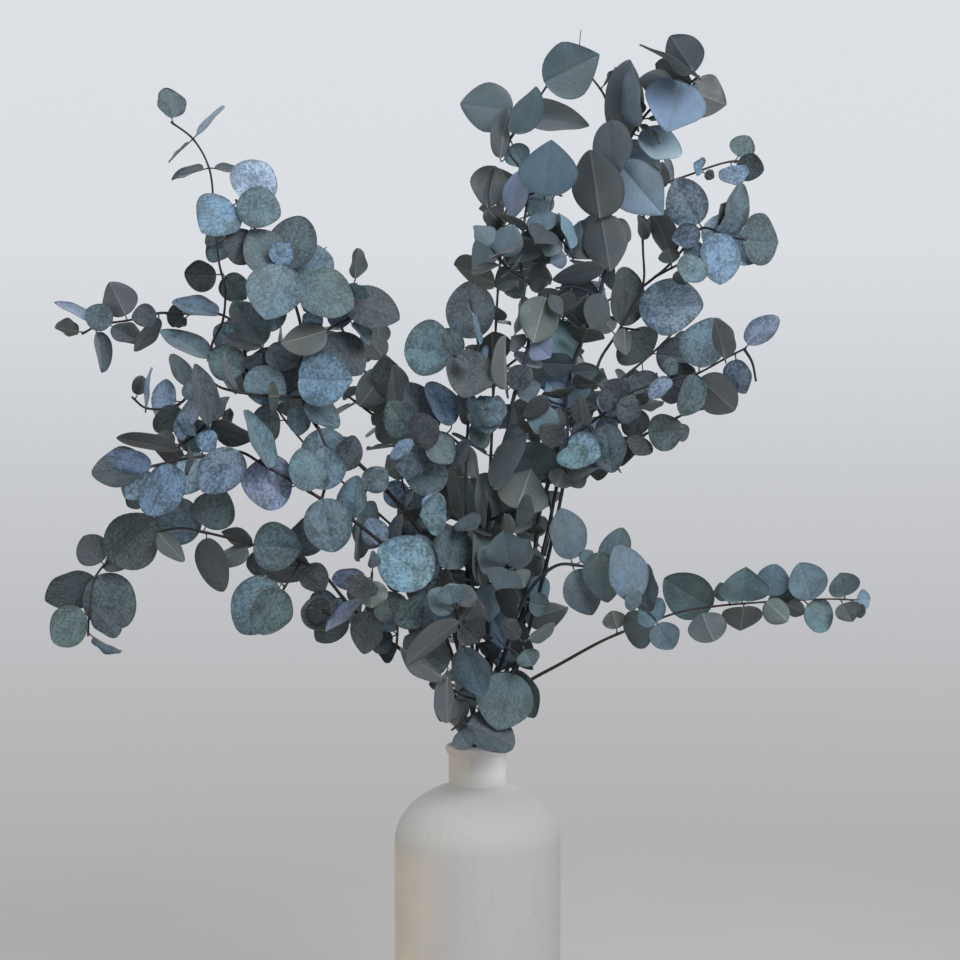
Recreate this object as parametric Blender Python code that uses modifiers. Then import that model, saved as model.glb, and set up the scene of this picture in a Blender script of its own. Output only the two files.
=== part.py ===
"""Eucalyptus branches standing in a white bottle vase.

One closed solid for the bottle and one for each leafy stem, with its side twigs and
leaves fused to it. Metres, +Z up, origin at the middle of the bottle's flat base.
The viewer of the arrangement stands at -Y.
"""

import math
import random

import bpy
import bmesh
from mathutils import Matrix, Vector
from mathutils.bvhtree import BVHTree

MM = 0.001

# Bottle
BOTTLE_RADIUS = 0.0530
BOTTLE_HEIGHT = 0.2208
WALL = 0.0045
FLOOR = 0.0050
BASE_ROUNDING = 0.0050
SHOULDER_START = 0.1587
SHOULDER_END = 0.1957
DOME_RISE = 0.0394
NECK_THINNER = 0.85
NECK_RADIUS = 0.0184
LIP_RADIUS = 0.0206
LIP_HEIGHT = 0.0050
MOUTH_RADIUS = 0.0146
BOTTLE_STEPS = 32

# Where the stems stand in the neck and on the bottle's floor
GAP = 0.0003
OUTER_RING = 0.0108
INNER_RING = 0.0043
OUTER_SLOTS = 11
INNER_SLOTS = 4
FOOT_SPREAD = 1.5
MOUTH_SPREAD = 1.06
START_SPREAD = 1.4
ABOVE_MOUTH = 0.003

# The view that the routes and leaves are laid out in: pixels of a 960 x 960 picture
PIXEL = 0.00064
AXIS_PX = 477.5
BASE_PY = 1089.0
CENTRE_PX = 480.0
VIEW_DISTANCE = 1.28
TOWARDS_VIEWER = Vector((0.0, -1.0, 0.0))

# Twigs grow thin faster near the foot than near the tip
TAPER = 1.6

# Leaves
BLADE = 0.0008
SHARP_DEGREES = 35
STALK_HALF = 0.0005
STALK = 0.0035
SNAP_PX = 4.0
END_PX = 2.0
WIDTH_TO_LENGTH = 0.92
LENGTH_GROW = 1.06
WIDTH_GROW = 1.09
CLEAR = 0.0008
PROBE_GROW = 1.05
WIDEST = 0.46
TIP_POWERS = (2.1, 0.62)
BLADE_ROWS = (0.22, 0.66)
FOLDS = (0.04, 0.20)
BENDS = (-0.02, 0.14)

# Each stem: its place in the neck, its route up from the mouth, how far its end lies
# towards the viewer (mm), its radii (mm), its side twigs as (depth of the end, radii,
# route) and its leaves as (base x, base y, tip x, tip y, width seen, tone). The tones
# are B blue bloom, L lilac, T teal, G grey-green, D dark, U underside.
STEMS = {
    "stem_upper_left": {
        "ring": "outer", "slot": 6, "end_depth": 34, "radii": (2.6, 1.0),
        "route": [(466, 690), (448, 610), (425, 540), (395, 500), (357, 462), (318, 428),
                  (303, 400), (298, 372), (303, 345), (290, 290), (282, 275), (262, 240),
                  (236, 200)],
        "twigs": [
            (-60, (1.1, 0.8), [(297, 390), (243, 373), (212, 352), (223, 320), (225, 290),
                               (219, 262), (214, 210), (209, 168), (193, 139), (171, 122)]),
            (-34, (1.1, 0.8), [(246, 374), (240, 330), (222, 315), (190, 314), (160, 313),
                              (130, 320), (97, 326), (82, 334)]),
            (56, (1.1, 0.8), [(300, 398), (250, 394), (222, 388), (198, 377), (182, 402),
                              (146, 408), (132, 397)]),
            (12, (1.1, 0.8), [(243, 373), (262, 348)]),
            (34, (1.1, 0.8), [(290, 290), (325, 287), (357, 284)]),
            (30, (1.1, 0.8), [(301, 350), (326, 331), (350, 318)]),
        ],
        "leaves": [
            (210, 358, 165, 328, 20, "T"), (243, 371, 212, 352, 34, "G"), (233, 198, 262, 161, 46, "B"),
            (240, 200, 278, 215, 38, "T"), (233, 198, 203, 228, 46, "B"), (220, 275, 186, 275, 28, "D"),
            (278, 272, 252, 232, 40, "G"), (285, 268, 300, 218, 46, "G"), (286, 275, 330, 258, 50, "T"),
            (300, 284, 350, 306, 46, "T"), (284, 266, 268, 316, 54, "B"), (344, 302, 397, 316, 40, "G"),
            (326, 330, 285, 345, 32, "U"), (325, 332, 362, 370, 38, "D"), (264, 344, 235, 303, 32, "G"),
            (265, 347, 300, 360, 28, "G"), (243, 373, 298, 380, 52, "G"), (246, 376, 282, 398, 36, "T"),
            (298, 378, 348, 381, 52, "B"), (128, 322, 112, 284, 34, "U"), (180, 401, 149, 395, 36, "B"),
            (252, 226, 236, 262, 34, "D"), (224, 272, 244, 298, 28, "D"),
        ],
    },
    "stem_mid_left": {
        "ring": "outer", "slot": 5, "end_depth": 104, "radii": (2.2, 0.9),
        "route": [(459, 685), (440, 625), (405, 565), (372, 535), (340, 511), (318, 497),
                  (290, 480), (262, 464), (240, 452), (205, 456), (178, 460), (149, 467)],
        "twigs": [
            (78, (1.1, 0.8), [(268, 467), (246, 436), (212, 422), (194, 436), (178, 447)]),
            (48, (1.1, 0.8), [(322, 499), (330, 462), (318, 427)]),
            (56, (1.1, 0.8), [(352, 520), (362, 502), (372, 470)]),
            (88, (1.1, 0.8), [(158, 466), (147, 490)]),
        ],
        "leaves": [
            (176, 446, 198, 396, 24, "L"), (206, 424, 202, 367, 18, "D"), (180, 446, 208, 426, 32, "G"),
            (147, 467, 94, 470, 38, "D"), (148, 466, 110, 456, 24, "B"), (148, 470, 126, 497, 32, "B"),
            (178, 463, 150, 513, 34, "B"), (207, 458, 177, 491, 36, "B"), (240, 452, 205, 490, 38, "L"),
            (270, 468, 250, 412, 16, "T"), (292, 487, 248, 480, 52, "L"), (308, 492, 303, 450, 34, "T"),
            (324, 490, 324, 448, 38, "T"), (318, 428, 334, 478, 46, "T"), (352, 518, 356, 478, 28, "T"),
            (322, 499, 334, 549, 46, "T"), (364, 505, 365, 566, 22, "G"), (410, 572, 425, 540, 30, "D"),
            (392, 552, 398, 590, 26, "G"),
        ],
    },
    "stem_low_left": {
        "ring": "outer", "slot": 4, "end_depth": 66, "radii": (2.1, 0.7),
        "route": [(453, 693), (440, 677), (405, 652), (383, 637), (350, 606), (318, 570),
                  (282, 555), (240, 541), (203, 532), (180, 528), (150, 535), (118, 553),
                  (96, 576), (90, 605), (88, 636)],
        "twigs": [
            (86, (1.1, 0.8), [(383, 637), (372, 604), (372, 572)]),
            (62, (1.1, 0.8), [(396, 647), (398, 624)]),
            (66, (1.1, 0.8), [(300, 563), (283, 590)]),
            (70, (1.1, 0.8), [(355, 611), (340, 618), (322, 612)]),
        ],
        "leaves": [
            (200, 531, 158, 512, 44, "T"), (203, 531, 225, 494, 40, "G"), (205, 533, 220, 589, 34, "D"),
            (110, 560, 152, 520, 52, "D"), (104, 566, 84, 538, 32, "G"), (104, 568, 142, 549, 22, "D"),
            (95, 576, 125, 624, 50, "T"), (95, 578, 48, 601, 36, "D"), (92, 610, 54, 640, 38, "B"),
            (253, 546, 300, 548, 46, "G"), (294, 560, 312, 520, 30, "D"), (308, 570, 264, 569, 34, "U"),
            (276, 582, 238, 628, 48, "T"), (279, 588, 262, 632, 36, "G"), (340, 618, 303, 610, 32, "D"),
            (346, 617, 318, 640, 28, "G"), (374, 606, 361, 651, 32, "D"), (398, 626, 384, 594, 32, "D"),
        ],
    },
    "stem_back_left": {
        "ring": "outer", "slot": 7, "end_depth": -70, "radii": (2.1, 0.8),
        "route": [(462, 670), (450, 620), (432, 560), (414, 490), (400, 430), (390, 385),
                  (378, 338)],
        "twigs": [
            (-95, (1.1, 0.8), [(432, 560), (380, 515), (330, 470), (285, 420), (240, 345)]),
            (-40, (1.1, 0.8), [(421, 515), (404, 490), (402, 462)]),
        ],
        "leaves": [
            (386, 370, 362, 405, 34, "U"), (392, 395, 384, 357, 28, "D"), (398, 420, 395, 364, 20, "D"),
            (412, 488, 420, 536, 34, "G"), (424, 540, 400, 512, 30, "D"), (430, 556, 415, 600, 30, "D"),
            (441, 600, 470, 575, 34, "G"), (330, 470, 300, 452, 34, "D"), (332, 472, 350, 440, 36, "G"),
            (285, 420, 255, 424, 34, "G"), (288, 420, 300, 388, 36, "D"), (262, 383, 232, 372, 30, "D"),
            (242, 350, 246, 312, 36, "G"), (380, 515, 360, 545, 32, "D"),
        ],
    },
    "stem_centre_left": {
        "ring": "inner", "slot": 1, "end_depth": 50, "radii": (2.2, 0.8),
        "route": [(474, 680), (470, 620), (466, 540), (466, 470), (468, 425), (474, 385),
                  (478, 345), (470, 300)],
        "twigs": [
            (66, (1.1, 0.8), [(472, 395), (484, 410)]),
            (60, (1.1, 0.8), [(476, 360), (457, 352)]),
            (44, (1.1, 0.8), [(467, 450), (440, 432), (410, 440)]),
            (40, (1.1, 0.8), [(475, 378), (500, 368), (508, 398)]),
            (46, (1.1, 0.8), [(466, 525), (448, 512)]),
            (52, (1.1, 0.8), [(467, 560), (446, 574), (425, 584)]),
        ],
        "leaves": [
            (452, 351, 405, 346, 52, "T"), (477, 338, 466, 284, 46, "G"), (452, 425, 430, 384, 26, "G"),
            (415, 438, 390, 404, 34, "B"), (412, 438, 436, 424, 34, "D"), (418, 440, 408, 478, 30, "T"),
            (448, 477, 406, 473, 38, "G"), (466, 524, 456, 466, 26, "U"), (446, 576, 457, 530, 38, "G"),
            (430, 582, 415, 538, 36, "B"), (430, 583, 383, 548, 52, "B"), (430, 584, 414, 634, 28, "G"),
            (448, 582, 432, 632, 38, "U"), (468, 600, 445, 630, 26, "T"), (450, 513, 424, 514, 38, "T"),
            (474, 586, 488, 534, 28, "U"), (482, 396, 489, 432, 36, "T"), (478, 352, 464, 394, 46, "G"),
            (426, 432, 412, 384, 32, "G"),
        ],
    },
    "stem_centre": {
        "ring": "inner", "slot": 0, "end_depth": 14, "mid_depth": 34, "radii": (2.4, 0.9),
        "route": [(487, 680), (488, 620), (487, 560), (495, 470), (508, 430), (513, 400),
                  (524, 365), (529, 335), (523, 300), (525, 283), (520, 262), (524, 225),
                  (527, 188), (520, 168), (508, 150), (511, 136)],
        "twigs": [
            (24, (1.1, 0.8), [(527, 195), (548, 191), (562, 196)]),
            (34, (1.1, 0.8), [(523, 228), (552, 232), (575, 258)]),
            (58, (1.1, 0.8), [(524, 278), (508, 268), (491, 248)]),
            (10, (1.1, 0.8), [(522, 240), (505, 228), (489, 204), (494, 168)]),
            (20, (1.1, 0.8), [(511, 138), (536, 102), (550, 81)]),
            (34, (1.1, 0.8), [(526, 322), (546, 297), (562, 290)]),
            (50, (1.1, 0.8), [(490, 520), (508, 512), (519, 508)]),
            (56, (1.1, 0.8), [(487, 585), (505, 575), (512, 566)]),
        ],
        "leaves": [
            (513, 110, 463, 104, 46, "G"), (544, 82, 597, 56, 50, "T"), (517, 118, 586, 118, 38, "G"),
            (512, 132, 540, 92, 24, "T"), (495, 166, 486, 206, 34, "U"), (521, 170, 513, 216, 24, "L"),
            (545, 196, 550, 150, 54, "T"), (546, 191, 530, 216, 32, "T"), (550, 212, 548, 248, 36, "T"),
            (508, 226, 476, 272, 30, "G"), (523, 232, 511, 264, 44, "D"), (528, 232, 550, 262, 36, "D"),
            (546, 298, 532, 340, 38, "U"), (512, 456, 560, 462, 34, "G"), (520, 508, 530, 474, 50, "U"),
            (491, 530, 480, 476, 20, "G"), (512, 566, 504, 532, 40, "G"), (484, 598, 506, 650, 36, "B"),
            (494, 488, 522, 434, 24, "D"), (488, 582, 478, 530, 22, "G"), (487, 584, 489, 620, 30, "T"),
            (506, 574, 513, 620, 20, "D"), (510, 574, 528, 540, 30, "G"),
        ],
    },
    "stem_top_right": {
        "ring": "inner", "slot": 3, "end_depth": 26, "mid_depth": 4, "radii": (2.6, 1.0),
        "route": [(493, 680), (508, 648), (521, 618), (529, 590), (535, 550), (541, 505),
                  (548, 484), (560, 440), (571, 372), (588, 325), (602, 285), (606, 250),
                  (598, 224), (610, 190), (622, 160), (631, 137), (652, 108), (684, 88)],
        "twigs": [
            (16, (1.1, 0.8), [(614, 180), (612, 130), (604, 95), (592, 78)]),
            (26, (1.1, 0.8), [(598, 297), (575, 287), (556, 288)]),
            (30, (1.1, 0.8), [(566, 405), (552, 402), (545, 396)]),
            (8, (1.1, 0.8), [(547, 488), (552, 520), (545, 556)]),
            (42, (1.1, 0.8), [(684, 88), (699, 76)]),
        ],
        "leaves": [
            (618, 138, 630, 64, 40, "D"), (698, 76, 672, 38, 30, "U"), (681, 82, 665, 133, 58, "B"),
            (685, 90, 724, 104, 42, "U"), (676, 92, 642, 78, 30, "G"), (636, 136, 680, 151, 36, "B"),
            (612, 120, 612, 176, 34, "G"), (630, 138, 632, 207, 56, "B"), (622, 165, 660, 212, 42, "B"),
            (597, 217, 592, 154, 46, "U"), (598, 214, 612, 268, 40, "U"), (603, 226, 632, 240, 34, "U"),
            (600, 292, 560, 308, 46, "D"), (600, 294, 594, 331, 26, "D"), (572, 364, 555, 320, 34, "T"),
            (576, 364, 560, 408, 48, "T"), (553, 400, 536, 432, 34, "T"), (553, 470, 516, 452, 34, "T"),
            (518, 626, 530, 670, 22, "G"), (522, 622, 566, 610, 22, "U"), (530, 584, 536, 550, 30, "G"),
        ],
    },
    "stem_upper_right": {
        "ring": "outer", "slot": 10, "end_depth": -56, "radii": (2.2, 0.9),
        "route": [(504, 680), (528, 610), (548, 530), (566, 450), (590, 400), (600, 360),
                  (614, 338), (632, 308), (643, 285), (643, 250), (642, 225)],
        "twigs": [
            (-8, (1.1, 0.8), [(643, 288), (668, 266), (690, 241), (702, 228), (726, 236),
                             (746, 240)]),
            (-84, (1.1, 0.8), [(642, 225), (650, 195), (697, 172), (728, 162), (738, 161)]),
            (-8, (1.1, 0.8), [(655, 277), (680, 264), (700, 257)]),
            (-20, (1.1, 0.8), [(620, 328), (640, 330)]),
            (-110, (1.1, 0.8), [(590, 400), (630, 372), (668, 338), (700, 300)]),
        ],
        "leaves": [
            (702, 228, 676, 182, 36, "L"), (726, 234, 745, 187, 26, "T"), (702, 229, 760, 255, 48, "L"),
            (738, 240, 780, 239, 50, "G"), (716, 236, 722, 281, 40, "B"), (622, 326, 630, 270, 36, "D"),
            (626, 330, 648, 357, 46, "D"), (634, 304, 700, 308, 50, "B"), (634, 370, 646, 398, 34, "D"),
            (652, 354, 690, 358, 34, "D"),
        ],
    },
    "stem_mid_right": {
        "ring": "outer", "slot": 0, "end_depth": 92, "radii": (2.1, 0.7),
        "route": [(510, 690), (533, 615), (552, 540), (564, 480), (569, 441), (592, 422),
                  (612, 408), (630, 393), (645, 387), (668, 381), (696, 374), (728, 357),
                  (746, 348)],
        "twigs": [
            (66, (1.1, 0.8), [(588, 426), (606, 447), (650, 432), (690, 412), (733, 405)]),
            (80, (1.1, 0.8), [(746, 348), (752, 362), (756, 381)]),
            (44, (1.1, 0.8), [(568, 446), (567, 415)]),
            (54, (1.1, 0.8), [(618, 404), (632, 404)]),
        ],
        "leaves": [
            (697, 372, 711, 320, 40, "T"), (696, 374, 733, 408, 34, "U"), (695, 376, 686, 414, 28, "B"),
            (630, 404, 598, 400, 30, "T"), (648, 432, 680, 430, 34, "D"), (606, 424, 612, 470, 34, "G"),
            (568, 444, 596, 454, 34, "B"),
        ],
    },
    "stem_low_right": {
        "ring": "outer", "slot": 1, "end_depth": 12, "radii": (1.9, 0.6),
        "route": [(496, 706), (524, 684), (560, 664), (600, 642), (620, 633), (650, 622),
                  (680, 612), (717, 606), (765, 602), (800, 600), (830, 599), (855, 600)],
        "twigs": [],
        "leaves": [
            (620, 633, 650, 622, 36, "D"), (712, 607, 666, 582, 42, "G"), (700, 609, 711, 638, 36, "U"),
            (742, 604, 742, 572, 46, "T"), (744, 604, 744, 629, 38, "U"), (770, 602, 775, 566, 28, "T"),
            (812, 600, 800, 565, 36, "B"), (804, 600, 828, 628, 30, "T"),
        ],
    },
    "stem_near_right": {
        "ring": "outer", "slot": 2, "end_depth": 84, "radii": (2.2, 0.9),
        "route": [(490, 702), (504, 655), (522, 604), (538, 580), (558, 565), (576, 565),
                  (606, 574), (634, 598), (656, 620)],
        "twigs": [],
        "leaves": [
            (572, 565, 563, 511, 36, "G"), (572, 566, 592, 612, 38, "G"), (600, 552, 604, 600, 34, "G"),
            (612, 578, 620, 530, 26, "T"), (636, 600, 618, 549, 38, "T"), (648, 612, 644, 566, 24, "G"),
            (654, 619, 671, 648, 28, "B"),
        ],
    },
    "stem_front": {
        "ring": "outer", "slot": 3, "end_depth": 82, "radii": (1.9, 0.9),
        "route": [(480, 716), (477, 690), (470, 662), (462, 640), (455, 606)],
        "twigs": [
            (58, (1.1, 0.8), [(478, 700), (456, 692), (440, 676)]),
            (62, (1.1, 0.8), [(479, 708), (498, 690), (514, 668), (524, 640)]),
            (66, (1.1, 0.8), [(479, 712), (462, 722), (452, 730)]),
        ],
        "leaves": [
            (448, 666, 406, 640, 42, "D"), (468, 640, 486, 692, 36, "T"), (514, 668, 498, 727, 54, "T"),
            (514, 670, 531, 717, 34, "G"), (462, 720, 512, 744, 32, "T"), (460, 636, 440, 610, 30, "T"),
            (456, 622, 406, 657, 22, "U"),
        ],
    },
}

# Stems at the back that the front view hides: place in the neck, heading of the lean
# (degrees from +X towards the back), spread and height of the end, side twigs by side
BACK_STEMS = {
    "stem_back_one": {"ring": "outer", "slot": 8, "heading": 136, "spread": 0.170,
                      "height": 0.545, "twigs": (-1, 1), "seed": 11},
    "stem_back_two": {"ring": "outer", "slot": 9, "heading": 66, "spread": 0.165,
                      "height": 0.520, "twigs": (1, -1), "seed": 12},
    "stem_back_three": {"ring": "inner", "slot": 2, "heading": 72, "spread": 0.105,
                        "height": 0.600, "twigs": (-1, -1), "seed": 13},
}
BACK_RADII = (2.1, 0.9)
BACK_TWIG_RADII = (1.1, 0.8)
BACK_STEPS = 8
BACK_SWAY = 0.008
BACK_TWIG_STEP = 0.035
BACK_TWIG_RISE = (0.65, 0.85)
BACK_TWIG_TURN = 62.0
BACK_TWIG_DROOP = 0.0012
BACK_LEAF = 0.034
BACK_TIP_LEAF = 0.026
BACK_LEAF_SIZES = (0.85, 1.1)
FIRST_PAIRS = (1.6, 0.9, 0.9)
PAIR_SIDEWAYS = Vector((0.3, 0.2, 1.0))
PAIR_TURN = 0.4
PAIR_FORWARD = (0.35, 0.75)
PAIR_ROLL = (-0.5, 0.5)
PAIR_SPACING = 1.25

COLOURS = {"bottle": (0.72, 0.70, 0.66), "leaf": (0.27, 0.33, 0.34)}


def from_photo(px, py, depth):
    """The point seen at pixel (px, py), depth mm nearer the viewer than the axis."""
    scale = PIXEL * (1.0 - depth * MM / VIEW_DISTANCE)
    return Vector(((CENTRE_PX - AXIS_PX) * PIXEL + (px - CENTRE_PX) * scale,
                   -depth * MM,
                   (BASE_PY - CENTRE_PX) * PIXEL + (CENTRE_PX - py) * scale))


def neck_place(stem):
    """A stem's place in the neck, seen from above."""
    if stem["ring"] == "outer":
        radius, angle = OUTER_RING, math.tau * stem["slot"] / OUTER_SLOTS
    else:
        radius, angle = INNER_RING, math.tau * (stem["slot"] + 0.5) / INNER_SLOTS
    return Vector((radius * math.cos(angle), -radius * math.sin(angle), 0.0))


def in_neck(stem):
    """The points of a stem from the bottle's floor to just above its mouth."""
    place = neck_place(stem)
    foot = place * FOOT_SPREAD + Vector((0.0, 0.0, FLOOR + GAP))
    return [foot, place + Vector((0.0, 0.0, SHOULDER_END)),
            place * MOUTH_SPREAD + Vector((0.0, 0.0, BOTTLE_HEIGHT + ABOVE_MOUTH))]


def with_depth(route, start, middle, end):
    """Route points as (px, py, depth), the depth changing evenly along the route."""
    steps = [0.0]
    for a, b in zip(route, route[1:]):
        steps.append(steps[-1] + math.dist(a, b))
    out = []
    for (px, py), step in zip(route, steps):
        s = step / steps[-1]
        straight = start + (end - start) * s
        out.append((px, py, straight + (middle - (start + end) / 2) * 4 * s * (1 - s)))
    return out


def nearest_on(runs, px, py):
    """The point of the runs nearest to pixel (px, py), as (px, py, depth)."""
    best, best_away = None, math.inf
    for run in runs:
        for a, b in zip(run, run[1:]):
            along = (b[0] - a[0], b[1] - a[1])
            size = math.hypot(*along)
            t = ((px - a[0]) * along[0] + (py - a[1]) * along[1]) / size ** 2
            t = min(1.0 - END_PX / size, max(0.0, t))
            spot = tuple(p + (q - p) * t for p, q in zip(a, b))
            away = math.dist(spot[:2], (px, py))
            if away < best_away:
                best, best_away = spot, away
    return best, best_away


def stem_runs(stem):
    """The routes of a stem and its side twigs, as lists of (px, py, depth)."""
    start = -neck_place(stem).y / MM * START_SPREAD
    middle = stem.get("mid_depth", (start + stem["end_depth"]) / 2)
    runs = [with_depth(stem["route"], start, middle, stem["end_depth"])]
    for end, _, route in stem["twigs"]:
        spot, _ = nearest_on(runs, *route[0])
        runs.append(with_depth([spot[:2]] + route[1:], spot[2], (spot[2] + end) / 2, end))
    return runs


def back_runs(stem):
    """The routes of a back stem and its side twigs, as lists of points."""
    draw = random.Random(stem["seed"])
    start = in_neck(stem)[-1]
    heading = math.radians(stem["heading"])
    out = Vector((math.cos(heading), math.sin(heading), 0.0))
    across = Vector((out.y, -out.x, 0.0))
    rise = Vector((0.0, 0.0, stem["height"] - start.z))
    main = []
    for i in range(1, BACK_STEPS + 1):
        t = i / BACK_STEPS
        sway = across * BACK_SWAY * t * math.sin(5.0 * t + stem["seed"])
        main.append(start + out * stem["spread"] * t ** 1.5 + sway + rise * t)
    runs = [main]
    for i, sign in enumerate(stem["twigs"]):
        turn = heading + sign * math.radians(BACK_TWIG_TURN)
        aim = Vector((math.cos(turn), math.sin(turn), draw.uniform(*BACK_TWIG_RISE)))
        aim.normalize()
        runs.append([main[2 + 2 * i] + aim * BACK_TWIG_STEP * k
                     - Vector((0.0, 0.0, BACK_TWIG_DROOP * k * k)) for k in range(4)])
    return runs


def half_width(u):
    """Half of the leaf's width at u along it, as a part of its greatest half width."""
    if u < WIDEST:
        return math.sqrt(max(0.0, 1.0 - ((WIDEST - u) / WIDEST) ** 2))
    inner, outer = TIP_POWERS
    return max(0.0, 1.0 - ((u - WIDEST) / (1.0 - WIDEST)) ** inner) ** outer


class Leaf:
    """A leaf's blade: where it starts, which way it points and how it is curved."""

    def __init__(self, root, base, along, normal, length, width, fold, bend):
        self.root = root
        self.along = along.normalized()
        if (base - root).length < STALK:
            base = root + self.along * STALK
            length = max(length - STALK, 2.0 * STALK)
        self.base = base
        self.normal = (normal - self.along * normal.dot(self.along)).normalized()
        self.side = self.along.cross(self.normal)
        self.length = length
        self.width = width
        self.fold = fold
        self.bend = bend

    def point(self, u, v):
        """A point of the blade, u along it and v across it from -1 to 1."""
        out = v * half_width(u) * self.width / 2
        rise = self.fold * abs(out) - self.bend * self.length * u * u
        return (self.base + self.along * (self.length * u) + self.side * out
                + self.normal * rise)

    def surface(self, grow=1.0, stalked=True):
        """Vertices and triangles of the open blade, with the stalk to the twig."""
        stalk = self.side * STALK_HALF
        left = [self.point(u, -grow) for u in BLADE_ROWS]
        right = [self.point(u, grow) for u in BLADE_ROWS]
        rim = [self.base - stalk] + left + [self.point(1.0, 0.0)]
        rim += right[::-1] + [self.base + stalk]
        verts = [self.point(WIDEST, 0.0)] + rim
        count = len(rim)
        faces = [(0, 1 + i, 1 + (i + 1) % count) for i in range(count)]
        if stalked:
            verts += [self.root - stalk, self.root + stalk]
            faces += [(1, count, count + 2), (1, count + 2, count + 1)]
        return verts, faces

    def probe(self, stalked=True):
        """A slightly larger closed blade, for finding what it would touch."""
        verts, faces = self.surface(PROBE_GROW, stalked)
        sides = {(a, b) for face in faces for a, b in zip(face, face[1:] + face[:1])}
        rim = [(a, b) for a, b in sides if (b, a) not in sides]
        count = len(verts)
        shell = [p + self.normal * CLEAR for p in verts]
        shell += [p - self.normal * CLEAR for p in verts]
        solid = faces + [tuple(i + count for i in face) for face in faces]
        for a, b in sorted(rim):
            solid += [(a, b, b + count), (a, b + count, a + count)]
        return BVHTree.FromPolygons(shell, solid)


def seen_leaf(row, runs, number, lift=0.0, tip_turn=0.0, roll_turn=0.0, shrink=1.0):
    """The leaf of a table row, growing from the nearest of its stem's routes."""
    base_x, base_y, tip_x, tip_y, seen_width, tone = row
    spot, away = nearest_on(runs, base_x, base_y)
    if away < SNAP_PX:
        base_x, base_y = spot[:2]
    base = from_photo(base_x, base_y, spot[2] + lift)
    across = (tip_x - base_x) * shrink * LENGTH_GROW
    down = (tip_y - base_y) * shrink * LENGTH_GROW
    scale = PIXEL * (1.0 - spot[2] * MM / VIEW_DISTANCE)
    seen_length = math.hypot(across, down) * scale
    seen_width = seen_width * shrink * WIDTH_GROW * scale
    length = max(seen_length, seen_width)
    width = max(seen_width, WIDTH_TO_LENGTH * length)
    lean = math.acos(seen_length / length)
    lean = (lean if number % 3 else -lean) + math.radians(tip_turn)
    roll = math.acos(seen_width / width)
    roll = (roll if number % 2 else -roll) + math.radians(roll_turn)
    flat = Vector((across, 0.0, -down)).normalized()
    along = flat * math.cos(lean) + TOWARDS_VIEWER * math.sin(lean)
    face = TOWARDS_VIEWER * math.cos(lean) - flat * math.sin(lean)
    normal = Matrix.Rotation(roll, 3, along) @ face
    draw = random.Random(number)
    return Leaf(from_photo(*spot), base, along, -normal if tone == "U" else normal,
                length, width, draw.uniform(*FOLDS), draw.uniform(*BENDS))


def tries():
    """Ways to move a leaf that would touch something, the smallest change first."""
    yield {}
    for shrink in (1.0, 0.85, 0.7):
        for tip_turn in (0, 14, -14, 28, -28):
            for lift in (0, 3, -3, 6, -6, 10, -10, 15, -15):
                yield {"lift": lift, "tip_turn": tip_turn, "shrink": shrink}
        for roll_turn in (20, -20, 40, -40):
            for lift in (0, 5, -5, 10, -10):
                yield {"lift": lift, "roll_turn": roll_turn, "shrink": shrink}


def back_leaves(runs, seed):
    """Opposite pairs of leaves, each pair turned across the last, along a back stem."""
    draw = random.Random(seed)
    spots = []
    for run, place in zip(runs, FIRST_PAIRS):
        while place <= len(run) - 1:
            spots.append((run, place))
            place += PAIR_SPACING
    for count, (run, place) in enumerate(spots):
        index = min(int(place), len(run) - 2)
        root = run[index].lerp(run[index + 1], place - index)
        axis = (run[index + 1] - run[index]).normalized()
        across = axis.cross(PAIR_SIDEWAYS).normalized()
        across = Matrix.Rotation(math.pi / 2 * (count % 2) + PAIR_TURN, 3, axis) @ across
        size = BACK_LEAF if place < len(run) - 1.5 else BACK_TIP_LEAF
        size *= draw.uniform(*BACK_LEAF_SIZES)
        for sign in (1.0, -1.0):
            along = (across * sign + axis * draw.uniform(*PAIR_FORWARD)).normalized()
            normal = Matrix.Rotation(draw.uniform(*PAIR_ROLL), 3, along) @ axis
            yield Leaf(root, root, along, normal, size, size * WIDTH_TO_LENGTH,
                       draw.uniform(*FOLDS), draw.uniform(*BENDS))


class Crowd:
    """Everything placed so far, to keep the next leaf clear of it."""

    def __init__(self):
        self.solids = []
        self.blades = []

    def add_solid(self, node, mesh):
        faces = [tuple(face.vertices) for face in mesh.polygons]
        verts = [vert.co.copy() for vert in mesh.vertices]
        self.solids.append((node, BVHTree.FromPolygons(verts, faces)))

    def take(self, node, leaf):
        """Add the leaf if it is clear of everything, and say whether it was."""
        whole, blade = leaf.probe(), leaf.probe(stalked=False)
        for other, tree in self.solids:
            if (blade if other == node else whole).overlap(tree):
                return False
        middle = leaf.point(0.5, 0.0)
        for other, centre, length, other_whole, other_blade in self.blades:
            if (centre - middle).length > length + leaf.length:
                continue
            if blade.overlap(other_blade) if other == node else whole.overlap(other_whole):
                return False
        self.blades.append((node, middle, leaf.length, whole, blade))
        return True


def material(name):
    mat = bpy.data.materials.new(name)
    mat.use_nodes = True
    shader = mat.node_tree.nodes["Principled BSDF"]
    shader.inputs["Base Color"].default_value = (*COLOURS[name], 1.0)
    shader.inputs["Roughness"].default_value = 0.6
    return mat


def new_object(name, data, collection):
    obj = bpy.data.objects.new(name, data)
    collection.objects.link(obj)
    return obj


def evaluated_mesh(obj):
    """A new mesh of the object as its modifiers or bevel leave it."""
    bpy.context.view_layer.update()
    graph = bpy.context.evaluated_depsgraph_get()
    return bpy.data.meshes.new_from_object(obj.evaluated_get(graph))


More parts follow.
